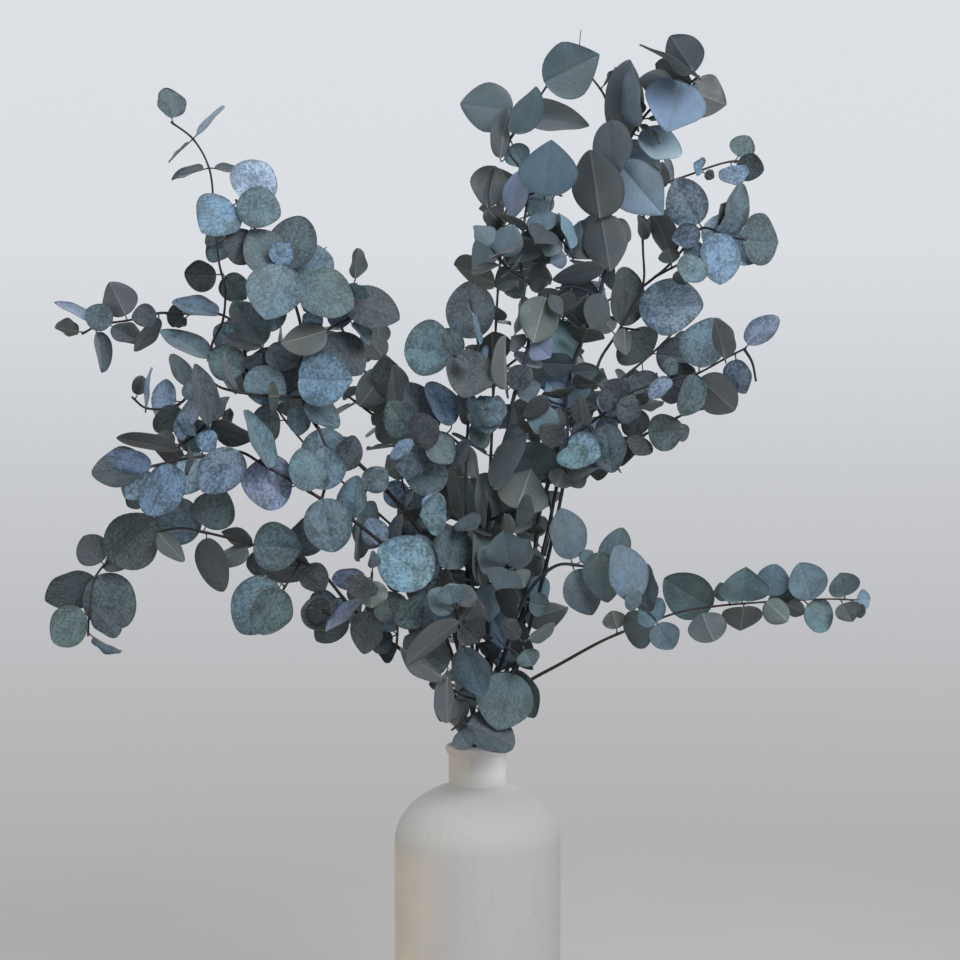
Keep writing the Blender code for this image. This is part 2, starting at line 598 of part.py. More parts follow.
def tube(name, points, radii, roundness, collection):
    """A tapered twig through the points, as a mesh with welded caps."""
    curve = bpy.data.curves.new(name, "CURVE")
    curve.dimensions = "3D"
    curve.bevel_depth = MM
    curve.bevel_resolution = roundness
    curve.use_fill_caps = True
    spline = curve.splines.new("POLY")
    spline.points.add(len(points) - 1)
    for i, (target, point) in enumerate(zip(spline.points, points)):
        target.co = (*point, 1.0)
        taper = (1.0 - i / (len(points) - 1)) ** TAPER
        target.radius = radii[1] + (radii[0] - radii[1]) * taper
    holder = new_object(name, curve, collection)
    mesh = evaluated_mesh(holder)
    bpy.data.objects.remove(holder)
    bm = bmesh.new()
    bm.from_mesh(mesh)
    bmesh.ops.remove_doubles(bm, verts=bm.verts, dist=1e-6)
    bmesh.ops.recalc_face_normals(bm, faces=bm.faces)
    bm.to_mesh(mesh)
    bm.free()
    return new_object(name, mesh, collection)


def shoulder(inset, steps):
    """The domed shoulder from the side up to the neck, moved in by the wall's inset."""
    radius, rise = BOTTLE_RADIUS - inset, DOME_RISE - inset
    last = math.acos((NECK_RADIUS - NECK_THINNER * inset) / radius)
    return [(radius * math.cos(last * i / steps),
             SHOULDER_START + rise * math.sin(last * i / steps)) for i in range(steps + 1)]


def bottle_profile():
    """Half of the bottle's section, from the inner floor over the lip to the base."""
    side = BOTTLE_RADIUS - WALL
    top = BOTTLE_HEIGHT
    inner = [(0.0, FLOOR), (side - WALL, FLOOR), (side, FLOOR + WALL)]
    lip = [(MOUTH_RADIUS - 0.0004, top - 0.0040), (MOUTH_RADIUS + 0.0012, top - 0.0004),
           (LIP_RADIUS - 0.0014, top), (LIP_RADIUS, top - 0.0014),
           (LIP_RADIUS - 0.0004, top - 0.0036), (NECK_RADIUS, top - LIP_HEIGHT - 0.0020)]
    base = []
    for i in range(3):
        turn = math.pi / 4 * i
        base.append((BOTTLE_RADIUS - BASE_ROUNDING * (1.0 - math.cos(turn)),
                     BASE_ROUNDING * (1.0 - math.sin(turn))))
    return inner + shoulder(WALL, 4) + lip + shoulder(0.0, 6)[::-1] + base + [(0.0, 0.0)]


def build_bottle(collection):
    """The bottle, turned from its profile."""
    mesh = bpy.data.meshes.new("bottle")
    points = [(x, 0.0, z) for x, z in bottle_profile()]
    mesh.from_pydata(points, [(i, i + 1) for i in range(len(points) - 1)], [])
    obj = new_object("bottle", mesh, collection)
    screw = obj.modifiers.new("turn", "SCREW")
    screw.steps = BOTTLE_STEPS
    screw.render_steps = BOTTLE_STEPS
    screw.use_merge_vertices = True
    screw.merge_threshold = 1e-5
    screw.use_smooth_shade = True
    obj.data.materials.append(material("bottle"))
    return obj


def add_leaf(name, leaf, collection):
    """A leaf as an open surface with Solidify."""
    verts, faces = leaf.surface()
    mesh = bpy.data.meshes.new(name)
    mesh.from_pydata(verts, [], faces)
    solidify = new_object(name, mesh, collection).modifiers.new("blade", "SOLIDIFY")
    solidify.thickness = BLADE
    solidify.offset = 0.0


def fuse(trunk, repeats, mat):
    """Join a stem with its twigs and leaves in one applied union."""
    union = trunk.modifiers.new("leaves", "BOOLEAN")
    union.operation = "UNION"
    union.operand_type = "COLLECTION"
    union.collection = repeats
    union.solver = "MANIFOLD"
    mesh = evaluated_mesh(trunk)
    trunk.modifiers.clear()
    trunk.data = mesh
    mesh.materials.clear()
    mesh.materials.append(mat)
    mesh.shade_smooth()
    mesh.set_sharp_from_angle(angle=math.radians(SHARP_DEGREES))
    for obj in list(repeats.objects):
        bpy.data.objects.remove(obj)
    bpy.data.collections.remove(repeats)


def build_wood(name, lines, radii, crowd, whole, repeats):
    """A stem's trunk and side twigs as solids, which the leaves have to clear."""
    trunk = tube(name, lines[0], radii[0], 1, whole)
    crowd.add_solid(name, trunk.data)
    for i, (line, twig_radii) in enumerate(zip(lines[1:], radii[1:])):
        twig = tube(f"{name}_twig_{i}", line, twig_radii, 0, repeats)
        crowd.add_solid(name, twig.data)
    return trunk


def main():
    for obj in list(bpy.data.objects):
        bpy.data.objects.remove(obj)
    scene = bpy.context.scene.collection
    whole = bpy.data.collections.new("eucalyptus_in_bottle")
    scene.children.link(whole)
    crowd = Crowd()
    crowd.add_solid("bottle", evaluated_mesh(build_bottle(whole)))

    runs, trunks, repeats = {}, {}, {}
    for name, stem in (STEMS | BACK_STEMS).items():
        repeats[name] = bpy.data.collections.new(name + "_repeats")
        scene.children.link(repeats[name])
        if name in STEMS:
            runs[name] = stem_runs(stem)
            lines = [[from_photo(*spot) for spot in run] for run in runs[name]]
            radii = [stem["radii"]] + [twig[1] for twig in stem["twigs"]]
        else:
            runs[name] = lines = back_runs(stem)
            radii = [BACK_RADII] + [BACK_TWIG_RADII] * len(stem["twigs"])
        lines = [in_neck(stem) + lines[0]] + lines[1:]
        trunks[name] = build_wood(name, lines, radii, crowd, whole, repeats[name])

    number = 0
    for name, stem in STEMS.items():
        for row in stem["leaves"]:
            number += 1
            for change in tries():
                leaf = seen_leaf(row, runs[name], number, **change)
                if crowd.take(name, leaf):
                    add_leaf(f"{name}_leaf_{number}", leaf, repeats[name])
                    break
    for name, stem in BACK_STEMS.items():
        for leaf in back_leaves(runs[name], stem["seed"]):
            number += 1
            if crowd.take(name, leaf):
                add_leaf(f"{name}_leaf_{number}", leaf, repeats[name])
    leaf_material = material("leaf")
    for name, trunk in trunks.items():
        fuse(trunk, repeats[name], leaf_material)


main()
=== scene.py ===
"""Looks of the eucalyptus branches in their white bottle vase.

Every leaf stands where its solid stands in the part, drawn finer, and the small leaves,
the petioles and the round twigs are added. Metres, +Z up, the viewer at -Y.
"""

import itertools
import math
import random

import bpy
from mathutils import Matrix, Vector, noise
from mathutils.bvhtree import BVHTree


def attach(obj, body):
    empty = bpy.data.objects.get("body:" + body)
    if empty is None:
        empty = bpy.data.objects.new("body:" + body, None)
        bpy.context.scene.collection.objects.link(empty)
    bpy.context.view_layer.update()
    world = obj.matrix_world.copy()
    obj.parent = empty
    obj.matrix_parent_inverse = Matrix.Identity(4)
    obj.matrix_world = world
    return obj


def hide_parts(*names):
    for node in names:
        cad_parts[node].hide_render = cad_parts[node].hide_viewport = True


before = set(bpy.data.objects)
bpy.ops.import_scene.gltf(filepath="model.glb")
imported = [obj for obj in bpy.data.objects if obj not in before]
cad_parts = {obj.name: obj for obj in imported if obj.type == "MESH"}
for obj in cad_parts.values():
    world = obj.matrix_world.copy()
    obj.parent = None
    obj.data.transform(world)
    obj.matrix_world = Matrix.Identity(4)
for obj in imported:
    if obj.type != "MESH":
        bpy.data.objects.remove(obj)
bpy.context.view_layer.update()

MM = 0.001

# Bottle: its section, with the lip's outline as (radius, height from the top), how finely
# it is turned in the part and here, and the dents in its plaster
BOTTLE_RADIUS = 0.0530
BOTTLE_HEIGHT = 0.2208
WALL = 0.0045
FLOOR = 0.0050
BASE_ROUNDING = 0.0050
SHOULDER_START = 0.1587
SHOULDER_END = 0.1957
DOME_RISE = 0.0394
NECK_THINNER = 0.85
NECK_RADIUS = 0.0184
LIP_RADIUS = 0.0206
LIP_HEIGHT = 0.0050
MOUTH_RADIUS = 0.0146
LIP_OUTLINE = ((MOUTH_RADIUS - 0.0004, -0.0040), (MOUTH_RADIUS + 0.0012, -0.0004),
               (LIP_RADIUS - 0.0014, 0.0), (LIP_RADIUS, -0.0014),
               (LIP_RADIUS - 0.0004, -0.0036), (NECK_RADIUS, -LIP_HEIGHT - 0.0020))
LIP_STEP = 0.0005
MERGE = 1e-5
ROUGH_BOTTLE = {"steps": 32, "inner": 4, "outer": 6, "base": 2}
FINE_BOTTLE = {"steps": 160, "inner": 16, "outer": 40, "base": 12}
DENT = 0.00035
DENT_SCALE = 34.0
SMALL_DENT = 0.4
SMALL_DENT_SCALE = 3.0
RIM_CHIP = 0.0004
RIM_CHIP_SCALE = 150.0
RIM_CHIP_SHIFT = Vector((7.0, 0.0, 0.0))

# Where the stems stand in the neck and on the bottle's floor
GAP = 0.0003
OUTER_RING = 0.0108
INNER_RING = 0.0043
OUTER_SLOTS = 11
INNER_SLOTS = 4
FOOT_SPREAD = 1.5
MOUTH_SPREAD = 1.06
START_SPREAD = 1.4
ABOVE_MOUTH = 0.003

# The view that the routes and leaves are laid out in: pixels of a 960 x 960 picture
PIXEL = 0.00064
AXIS_PX = 477.5
BASE_PY = 1089.0
CENTRE_PX = 480.0
VIEW_DISTANCE = 1.28
CAMERA_X = (CENTRE_PX - AXIS_PX) * PIXEL
CAMERA_Z = (BASE_PY - CENTRE_PX) * PIXEL
TOWARDS_VIEWER = Vector((0.0, -1.0, 0.0))
LENS = 75.0
SENSOR = 36.0

# Twigs grow thin faster near the foot than near the tip; their radii at both ends, in mm
TAPER = 1.6
TWIG_RADII = (1.1, 0.8)
BACK_RADII = (2.1, 0.9)
BARE_RADII = (0.45, 0.3)

# Leaves as the part's source places them
STALK_HALF = 0.0005
STALK = 0.0035
SNAP_PX = 4.0
END_PX = 2.0
WIDTH_TO_LENGTH = 0.92
LENGTH_GROW = 1.06
WIDTH_GROW = 1.09
CLEAR = 0.0008
PROBE_GROW = 1.05
SHRINKS = (1.0, 0.85, 0.7)
TIP_TURNS = (0, 14, -14, 28, -28)
TIP_LIFTS = (0, 3, -3, 6, -6, 10, -10, 15, -15)
ROLL_TURNS = (20, -20, 40, -40)
ROLL_LIFTS = (0, 5, -5, 10, -10)
WIDEST = 0.46
TIP_POWERS = (2.1, 0.62)
BLADE_ROWS = (0.22, 0.66)
FOLDS = (0.04, 0.20)
BENDS = (-0.02, 0.14)

# Leaves as they are drawn: rows along a blade, places across its half, thickness in the
# middle and at the rim, the rib under it, and how far and how often its rim waves, curls
# and is ragged
ROWS = 16
ACROSS = (0.0, 0.07, 0.26, 0.48, 0.70, 0.88, 1.0)
THICK_MIDDLE = 0.00050
THICK_RIM = 0.00026
RIB = 0.00035
RIB_FADE = 0.8
GROOVE = 0.00012
WAVES = (0.00020, 0.00085)
WAVE_TURNS = (1.0, 2.2)
CURLS = (-0.0008, 0.0012)
RAGGED = 0.026
RAGGED_TURN = 4.0
LOPSIDED = 0.07
POINTED_POWER = 1.6
SHARPNESS = (0.0, 0.5)
TEXTURE_SHIFT = 50.0
SHARP_DEGREES = 50

# Twigs as they are drawn
TWIG_SPACING = 0.0022
TRUNK_SIDES = 12
TWIG_SIDES = 8
PETIOLE_SIDES = 6
START_CAP = 0.4
END_CAP = 0.8
NODE_SWELL = 0.20
THINNER = 0.84
NODE_REACH = 0.0017
KNOBBLE = 0.06
KNOBBLE_SCALE = 260.0
PETIOLE_RADII = (0.00055, 0.00036)
PETIOLE_STEPS = 5
PETIOLE_BEND = 0.5
INTO_BLADE = 0.0015

# Each stem: its place in the neck, its route up from the mouth, how far its end lies
# towards the viewer (mm), and its middle where that isn't halfway, its radii (mm), its side
# twigs as (depth of the end, route) and its leaves as (base x, base y, tip x, tip y, width
# seen, tone). The tones are P pale blue, B blue bloom, L lilac, T teal, G grey-green, D dark,
# K nearly black and U underside.
# P is partly painted light on leaves in shade; D and K are partly painted shade.
STEMS = {
    "stem_upper_left": {
        "ring": "outer", "slot": 6, "end_depth": 34, "radii": (2.6, 1.0),
        "route": [(466, 690), (448, 610), (425, 540), (395, 500), (357, 462), (318, 428),
                  (303, 400), (298, 372), (303, 345), (290, 290), (282, 275), (262, 240),
                  (236, 200)],
        "twigs": [
            (-60, [(297, 390), (243, 373), (212, 352), (223, 320), (225, 290), (219, 262),
                   (214, 210), (209, 168), (193, 139), (171, 122)]),
            (-34, [(246, 374), (240, 330), (222, 315), (190, 314), (160, 313), (130, 320),
                   (97, 326), (82, 334)]),
            (56, [(300, 398), (250, 394), (222, 388), (198, 377), (182, 402), (146, 408),
                  (132, 397)]),
            (12, [(243, 373), (262, 348)]),
            (34, [(290, 290), (325, 287), (357, 284)]),
            (30, [(301, 350), (326, 331), (350, 318)]),
        ],
        "leaves": [
            (210, 358, 165, 328, 20, "T"), (243, 371, 212, 352, 34, "G"), (233, 198, 262, 161, 46, "P"),
            (240, 200, 278, 215, 38, "T"), (233, 198, 203, 228, 46, "B"), (220, 275, 186, 275, 28, "D"),
            (278, 272, 252, 232, 40, "G"), (285, 268, 300, 218, 46, "G"), (286, 275, 330, 258, 50, "T"),
            (300, 284, 350, 306, 46, "G"), (284, 266, 268, 316, 54, "T"), (344, 302, 397, 316, 40, "D"),
            (326, 330, 285, 345, 32, "U"), (325, 332, 362, 370, 38, "D"), (264, 344, 235, 303, 32, "G"),
            (265, 347, 300, 360, 28, "G"), (243, 373, 298, 380, 52, "G"), (246, 376, 282, 398, 36, "T"),
            (298, 378, 348, 381, 52, "B"), (128, 322, 112, 284, 34, "U"), (180, 401, 149, 395, 36, "B"),
            (252, 226, 236, 262, 34, "D"), (224, 272, 244, 298, 28, "G"),
        ],
    },
    "stem_mid_left": {
        "ring": "outer", "slot": 5, "end_depth": 104, "radii": (2.2, 0.9),
        "route": [(459, 685), (440, 625), (405, 565), (372, 535), (340, 511), (318, 497),
                  (290, 480), (262, 464), (240, 452), (205, 456), (178, 460), (149, 467)],
        "twigs": [
            (78, [(268, 467), (246, 436), (212, 422), (194, 436), (178, 447)]),
            (48, [(322, 499), (330, 462), (318, 427)]),
            (56, [(352, 520), (362, 502), (372, 470)]),
            (88, [(158, 466), (147, 490)]),
        ],
        "leaves": [
            (176, 446, 198, 396, 24, "L"), (206, 424, 202, 367, 18, "D"), (180, 446, 208, 426, 32, "G"),
            (147, 467, 94, 470, 38, "D"), (148, 466, 110, 456, 24, "B"), (148, 470, 126, 497, 32, "P"),
            (178, 463, 150, 513, 34, "B"), (207, 458, 177, 491, 36, "P"), (240, 452, 205, 490, 38, "L"),
            (270, 468, 250, 412, 16, "T"), (292, 487, 248, 480, 52, "L"), (308, 492, 303, 450, 34, "T"),
            (324, 490, 324, 448, 38, "T"), (318, 428, 334, 478, 46, "T"), (352, 518, 356, 478, 28, "T"),
            (322, 499, 334, 549, 46, "T"), (364, 505, 365, 566, 22, "G"), (410, 572, 425, 540, 30, "D"),
            (392, 552, 398, 590, 26, "G"),
        ],
    },
    "stem_low_left": {
        "ring": "outer", "slot": 4, "end_depth": 66, "radii": (2.1, 0.7),
        "route": [(453, 693), (440, 677), (405, 652), (383, 637), (350, 606), (318, 570),
                  (282, 555), (240, 541), (203, 532), (180, 528), (150, 535), (118, 553),
                  (96, 576), (90, 605), (88, 636)],
        "twigs": [
            (86, [(383, 637), (372, 604), (372, 572)]),
            (62, [(396, 647), (398, 624)]),
            (66, [(300, 563), (283, 590)]),
            (70, [(355, 611), (340, 618), (322, 612)]),
        ],
        "leaves": [
            (200, 531, 158, 512, 44, "T"), (203, 531, 225, 494, 40, "G"), (205, 533, 220, 589, 34, "D"),
            (110, 560, 152, 520, 52, "D"), (104, 566, 84, 538, 32, "D"), (104, 568, 142, 549, 22, "D"),
            (95, 576, 125, 624, 50, "G"), (95, 578, 48, 601, 36, "D"), (92, 610, 54, 640, 38, "G"),
            (253, 546, 300, 548, 46, "G"), (294, 560, 312, 520, 30, "D"), (308, 570, 264, 569, 34, "U"),
            (276, 582, 238, 628, 48, "T"), (279, 588, 262, 632, 36, "G"), (340, 618, 303, 610, 32, "D"),
            (346, 617, 318, 640, 28, "D"), (374, 606, 361, 651, 32, "D"), (398, 626, 384, 594, 32, "D"),
        ],
    },
    "stem_back_left": {
        "ring": "outer", "slot": 7, "end_depth": -70, "radii": (2.1, 0.8),
        "route": [(462, 670), (450, 620), (432, 560), (414, 490), (400, 430), (390, 385),
                  (378, 338)],
        "twigs": [
            (-95, [(432, 560), (380, 515), (330, 470), (285, 420), (240, 345)]),
            (-40, [(421, 515), (404, 490), (402, 462)]),
        ],
        "leaves": [
            (386, 370, 362, 405, 34, "U"), (392, 395, 384, 357, 28, "D"), (398, 420, 395, 364, 20, "D"),
            (412, 488, 420, 536, 34, "G"), (424, 540, 400, 512, 30, "D"), (430, 556, 415, 600, 30, "D"),
            (441, 600, 470, 575, 34, "G"), (330, 470, 300, 452, 34, "D"), (332, 472, 350, 440, 36, "G"),
            (285, 420, 255, 424, 34, "G"), (288, 420, 300, 388, 36, "D"), (262, 383, 232, 372, 30, "D"),
            (242, 350, 246, 312, 36, "G"), (380, 515, 360, 545, 32, "D"),
        ],
    },
    "stem_centre_left": {
        "ring": "inner", "slot": 1, "end_depth": 50, "radii": (2.2, 0.8),
        "route": [(474, 680), (470, 620), (466, 540), (466, 470), (468, 425), (474, 385),
                  (478, 345), (470, 300)],
        "twigs": [
            (66, [(472, 395), (484, 410)]),
            (60, [(476, 360), (457, 352)]),
            (44, [(467, 450), (440, 432), (410, 440)]),
            (40, [(475, 378), (500, 368), (508, 398)]),
            (46, [(466, 525), (448, 512)]),
            (52, [(467, 560), (446, 574), (425, 584)]),
        ],
        "leaves": [
            (452, 351, 405, 346, 52, "T"), (477, 338, 466, 284, 46, "G"), (452, 425, 430, 384, 26, "B"),
            (415, 438, 390, 404, 34, "G"), (412, 438, 436, 424, 34, "D"), (418, 440, 408, 478, 30, "T"),
            (448, 477, 406, 473, 38, "G"), (466, 524, 456, 466, 26, "U"), (446, 576, 457, 530, 38, "G"),
            (430, 582, 415, 538, 36, "B"), (430, 583, 383, 548, 52, "B"), (430, 584, 414, 634, 28, "G"),
            (448, 582, 432, 632, 38, "U"), (468, 600, 445, 630, 26, "T"), (450, 513, 424, 514, 38, "T"),
            (474, 586, 488, 534, 28, "U"), (482, 396, 489, 432, 36, "T"), (478, 352, 464, 394, 46, "D"),
            (426, 432, 412, 384, 32, "G"),
        ],
    },
    "stem_centre": {
        "ring": "inner", "slot": 0, "end_depth": 14, "mid_depth": 34, "radii": (2.4, 0.9),
        "route": [(487, 680), (488, 620), (487, 560), (495, 470), (508, 430), (513, 400),
                  (524, 365), (529, 335), (523, 300), (525, 283), (520, 262), (524, 225),
                  (527, 188), (520, 168), (508, 150), (511, 136)],
        "twigs": [
            (24, [(527, 195), (548, 191), (562, 196)]),
            (34, [(523, 228), (552, 232), (575, 258)]),
            (58, [(524, 278), (508, 268), (491, 248)]),
            (10, [(522, 240), (505, 228), (489, 204), (494, 168)]),
            (20, [(511, 138), (536, 102), (550, 81)]),
            (34, [(526, 322), (546, 297), (562, 290)]),
            (50, [(490, 520), (508, 512), (519, 508)]),
            (56, [(487, 585), (505, 575), (512, 566)]),
        ],
        "leaves": [
            (513, 110, 463, 104, 46, "G"), (544, 82, 597, 56, 50, "G"), (517, 118, 586, 118, 38, "D"),
            (512, 132, 540, 92, 24, "T"), (495, 166, 486, 206, 34, "U"), (521, 170, 513, 216, 24, "L"),
            (545, 196, 550, 150, 54, "T"), (546, 191, 530, 216, 32, "T"), (550, 212, 548, 248, 36, "G"),
            (508, 226, 476, 272, 30, "G"), (523, 232, 511, 264, 44, "D"), (528, 232, 550, 262, 36, "D"),
            (546, 298, 532, 340, 38, "U"), (512, 456, 560, 462, 34, "G"), (520, 508, 530, 474, 50, "U"),
            (491, 530, 480, 476, 20, "G"), (512, 566, 504, 532, 40, "G"), (484, 598, 506, 650, 36, "P"),
            (494, 488, 522, 434, 24, "D"), (488, 582, 478, 530, 22, "G"), (487, 584, 489, 620, 30, "T"),
            (506, 574, 513, 620, 20, "D"), (510, 574, 528, 540, 30, "G"),
        ],
    },
    "stem_top_right": {
        "ring": "inner", "slot": 3, "end_depth": 26, "mid_depth": 4, "radii": (2.6, 1.0),
        "route": [(493, 680), (508, 648), (521, 618), (529, 590), (535, 550), (541, 505),
                  (548, 484), (560, 440), (571, 372), (588, 325), (602, 285), (606, 250),
                  (598, 224), (610, 190), (622, 160), (631, 137), (652, 108), (684, 88)],
        "twigs": [
            (16, [(614, 180), (612, 130), (604, 95), (592, 78)]),
            (26, [(598, 297), (575, 287), (556, 288)]),
            (30, [(566, 405), (552, 402), (545, 396)]),
            (8, [(547, 488), (552, 520), (545, 556)]),
            (42, [(684, 88), (699, 76)]),
        ],
        "leaves": [
            (618, 138, 630, 64, 40, "D"), (698, 76, 672, 38, 30, "U"), (681, 82, 665, 133, 58, "B"),
            (685, 90, 724, 104, 42, "U"), (676, 92, 642, 78, 30, "D"), (636, 136, 680, 151, 36, "P"),
            (612, 120, 612, 176, 34, "G"), (630, 138, 632, 207, 56, "P"), (622, 165, 660, 212, 42, "P"),
            (597, 217, 592, 154, 46, "U"), (598, 214, 612, 268, 40, "U"), (603, 226, 632, 240, 34, "U"),
            (600, 292, 560, 308, 46, "D"), (600, 294, 594, 331, 26, "D"), (572, 364, 555, 320, 34, "T"),
            (576, 364, 560, 408, 48, "B"), (553, 400, 536, 432, 34, "T"), (553, 470, 516, 452, 34, "T"),
            (518, 626, 530, 670, 22, "G"), (522, 622, 566, 610, 22, "U"), (530, 584, 536, 550, 30, "G"),
        ],
    },
    "stem_upper_right": {
        "ring": "outer", "slot": 10, "end_depth": -56, "radii": (2.2, 0.9),
        "route": [(504, 680), (528, 610), (548, 530), (566, 450), (590, 400), (600, 360),
                  (614, 338), (632, 308), (643, 285), (643, 250), (642, 225)],
        "twigs": [
            (-8, [(643, 288), (668, 266), (690, 241), (702, 228), (726, 236), (746, 240)]),
            (-84, [(642, 225), (650, 195), (697, 172), (728, 162), (738, 161)]),
            (-8, [(655, 277), (680, 264), (700, 257)]),
            (-20, [(620, 328), (640, 330)]),
            (-110, [(590, 400), (630, 372), (668, 338), (700, 300)]),
        ],
        "leaves": [
            (702, 228, 676, 182, 36, "P"), (726, 234, 745, 187, 26, "T"), (702, 229, 760, 255, 48, "P"),
            (738, 240, 780, 239, 50, "G"), (716, 236, 722, 281, 40, "B"), (622, 326, 630, 270, 36, "D"),
            (626, 330, 648, 357, 46, "D"), (634, 304, 700, 308, 50, "P"), (634, 370, 646, 398, 34, "D"),
            (652, 354, 690, 358, 34, "D"),
        ],
    },
    "stem_mid_right": {
        "ring": "outer", "slot": 0, "end_depth": 92, "radii": (2.1, 0.7),
        "route": [(510, 690), (533, 615), (552, 540), (564, 480), (569, 441), (592, 422),
                  (612, 408), (630, 393), (645, 387), (668, 381), (696, 374), (728, 357),
                  (746, 348)],
        "twigs": [
            (66, [(588, 426), (606, 447), (650, 432), (690, 412), (733, 405)]),
            (80, [(746, 348), (752, 362), (756, 381)]),
            (44, [(568, 446), (567, 415)]),
            (54, [(618, 404), (632, 404)]),
        ],
        "leaves": [
            (697, 372, 711, 320, 40, "T"), (696, 374, 733, 408, 34, "U"), (695, 376, 686, 414, 28, "G"),
            (630, 404, 598, 400, 30, "B"), (648, 432, 680, 430, 34, "D"), (606, 424, 612, 470, 34, "G"),
            (568, 444, 596, 454, 34, "B"),
        ],
    },
    "stem_low_right": {
        "ring": "outer", "slot": 1, "end_depth": 12, "radii": (1.9, 0.6),
        "route": [(496, 706), (524, 684), (560, 664), (600, 642), (620, 633), (650, 622),
                  (680, 612), (717, 606), (765, 602), (800, 600), (830, 599), (855, 600)],
        "twigs": [],
        "leaves": [
            (620, 633, 650, 622, 36, "D"), (712, 607, 666, 582, 42, "G"), (700, 609, 711, 638, 36, "U"),
            (742, 604, 742, 572, 46, "T"), (744, 604, 744, 629, 38, "U"), (770, 602, 775, 566, 28, "T"),
            (812, 600, 800, 565, 36, "T"), (804, 600, 828, 628, 30, "T"),
        ],
    },
    "stem_near_right": {
        "ring": "outer", "slot": 2, "end_depth": 84, "radii": (2.2, 0.9),
        "route": [(490, 702), (504, 655), (522, 604), (538, 580), (558, 565), (576, 565),
                  (606, 574), (634, 598), (656, 620)],
        "twigs": [],
        "leaves": [
            (572, 565, 563, 511, 36, "G"), (572, 566, 592, 612, 38, "G"), (600, 552, 604, 600, 34, "G"),
            (612, 578, 620, 530, 26, "T"), (636, 600, 618, 549, 38, "T"), (648, 612, 644, 566, 24, "G"),
            (654, 619, 671, 648, 28, "T"),
        ],
    },
    "stem_front": {
        "ring": "outer", "slot": 3, "end_depth": 82, "radii": (1.9, 0.9),
        "route": [(480, 716), (477, 690), (470, 662), (462, 640), (455, 606)],
        "twigs": [
            (58, [(478, 700), (456, 692), (440, 676)]),
            (62, [(479, 708), (498, 690), (514, 668), (524, 640)]),
            (66, [(479, 712), (462, 722), (452, 730)]),
        ],
        "leaves": [
            (448, 666, 406, 640, 42, "D"), (468, 640, 486, 692, 36, "T"), (514, 668, 498, 727, 54, "G"),
            (514, 670, 531, 717, 34, "G"), (462, 720, 512, 744, 32, "D"), (460, 636, 440, 610, 30, "T"),
            (456, 622, 406, 657, 22, "U"),
        ],
    },
}

# Stems at the back that the front view hides: place in the neck, heading of the lean
# (degrees from +X towards the back), spread and height of the end, side twigs by side
BACK_STEMS = {
    "stem_back_one": {"ring": "outer", "slot": 8, "heading": 136, "spread": 0.170,
                      "height": 0.545, "twigs": (-1, 1), "seed": 11},
    "stem_back_two": {"ring": "outer", "slot": 9, "heading": 66, "spread": 0.165,
                      "height": 0.520, "twigs": (1, -1), "seed": 12},
    "stem_back_three": {"ring": "inner", "slot": 2, "heading": 72, "spread": 0.105,
                        "height": 0.600, "twigs": (-1, -1), "seed": 13},
}
BACK_STEPS = 8
BACK_TWIG_STARTS = (2, 4)
BACK_LEAN = 1.5
BACK_SWAY = 0.008
BACK_SWAY_TURN = 5.0
BACK_TWIG_POINTS = 4
BACK_TWIG_STEP = 0.035
BACK_TWIG_RISE = (0.65, 0.85)
BACK_TWIG_TURN = 62.0
BACK_TWIG_DROOP = 0.0012
BACK_LEAF = 0.034
BACK_TIP_LEAF = 0.026
BACK_LEAF_SIZES = (0.85, 1.1)
BACK_TONES = "GTD"
FIRST_PAIRS = (1.6, 0.9, 0.9)
PAIR_SIDEWAYS = Vector((0.3, 0.2, 1.0))
PAIR_TURN = 0.4
PAIR_FORWARD = (0.35, 0.75)
PAIR_ROLL = (-0.5, 0.5)
PAIR_SPACING = 1.25
TIP_STRETCH = 1.5

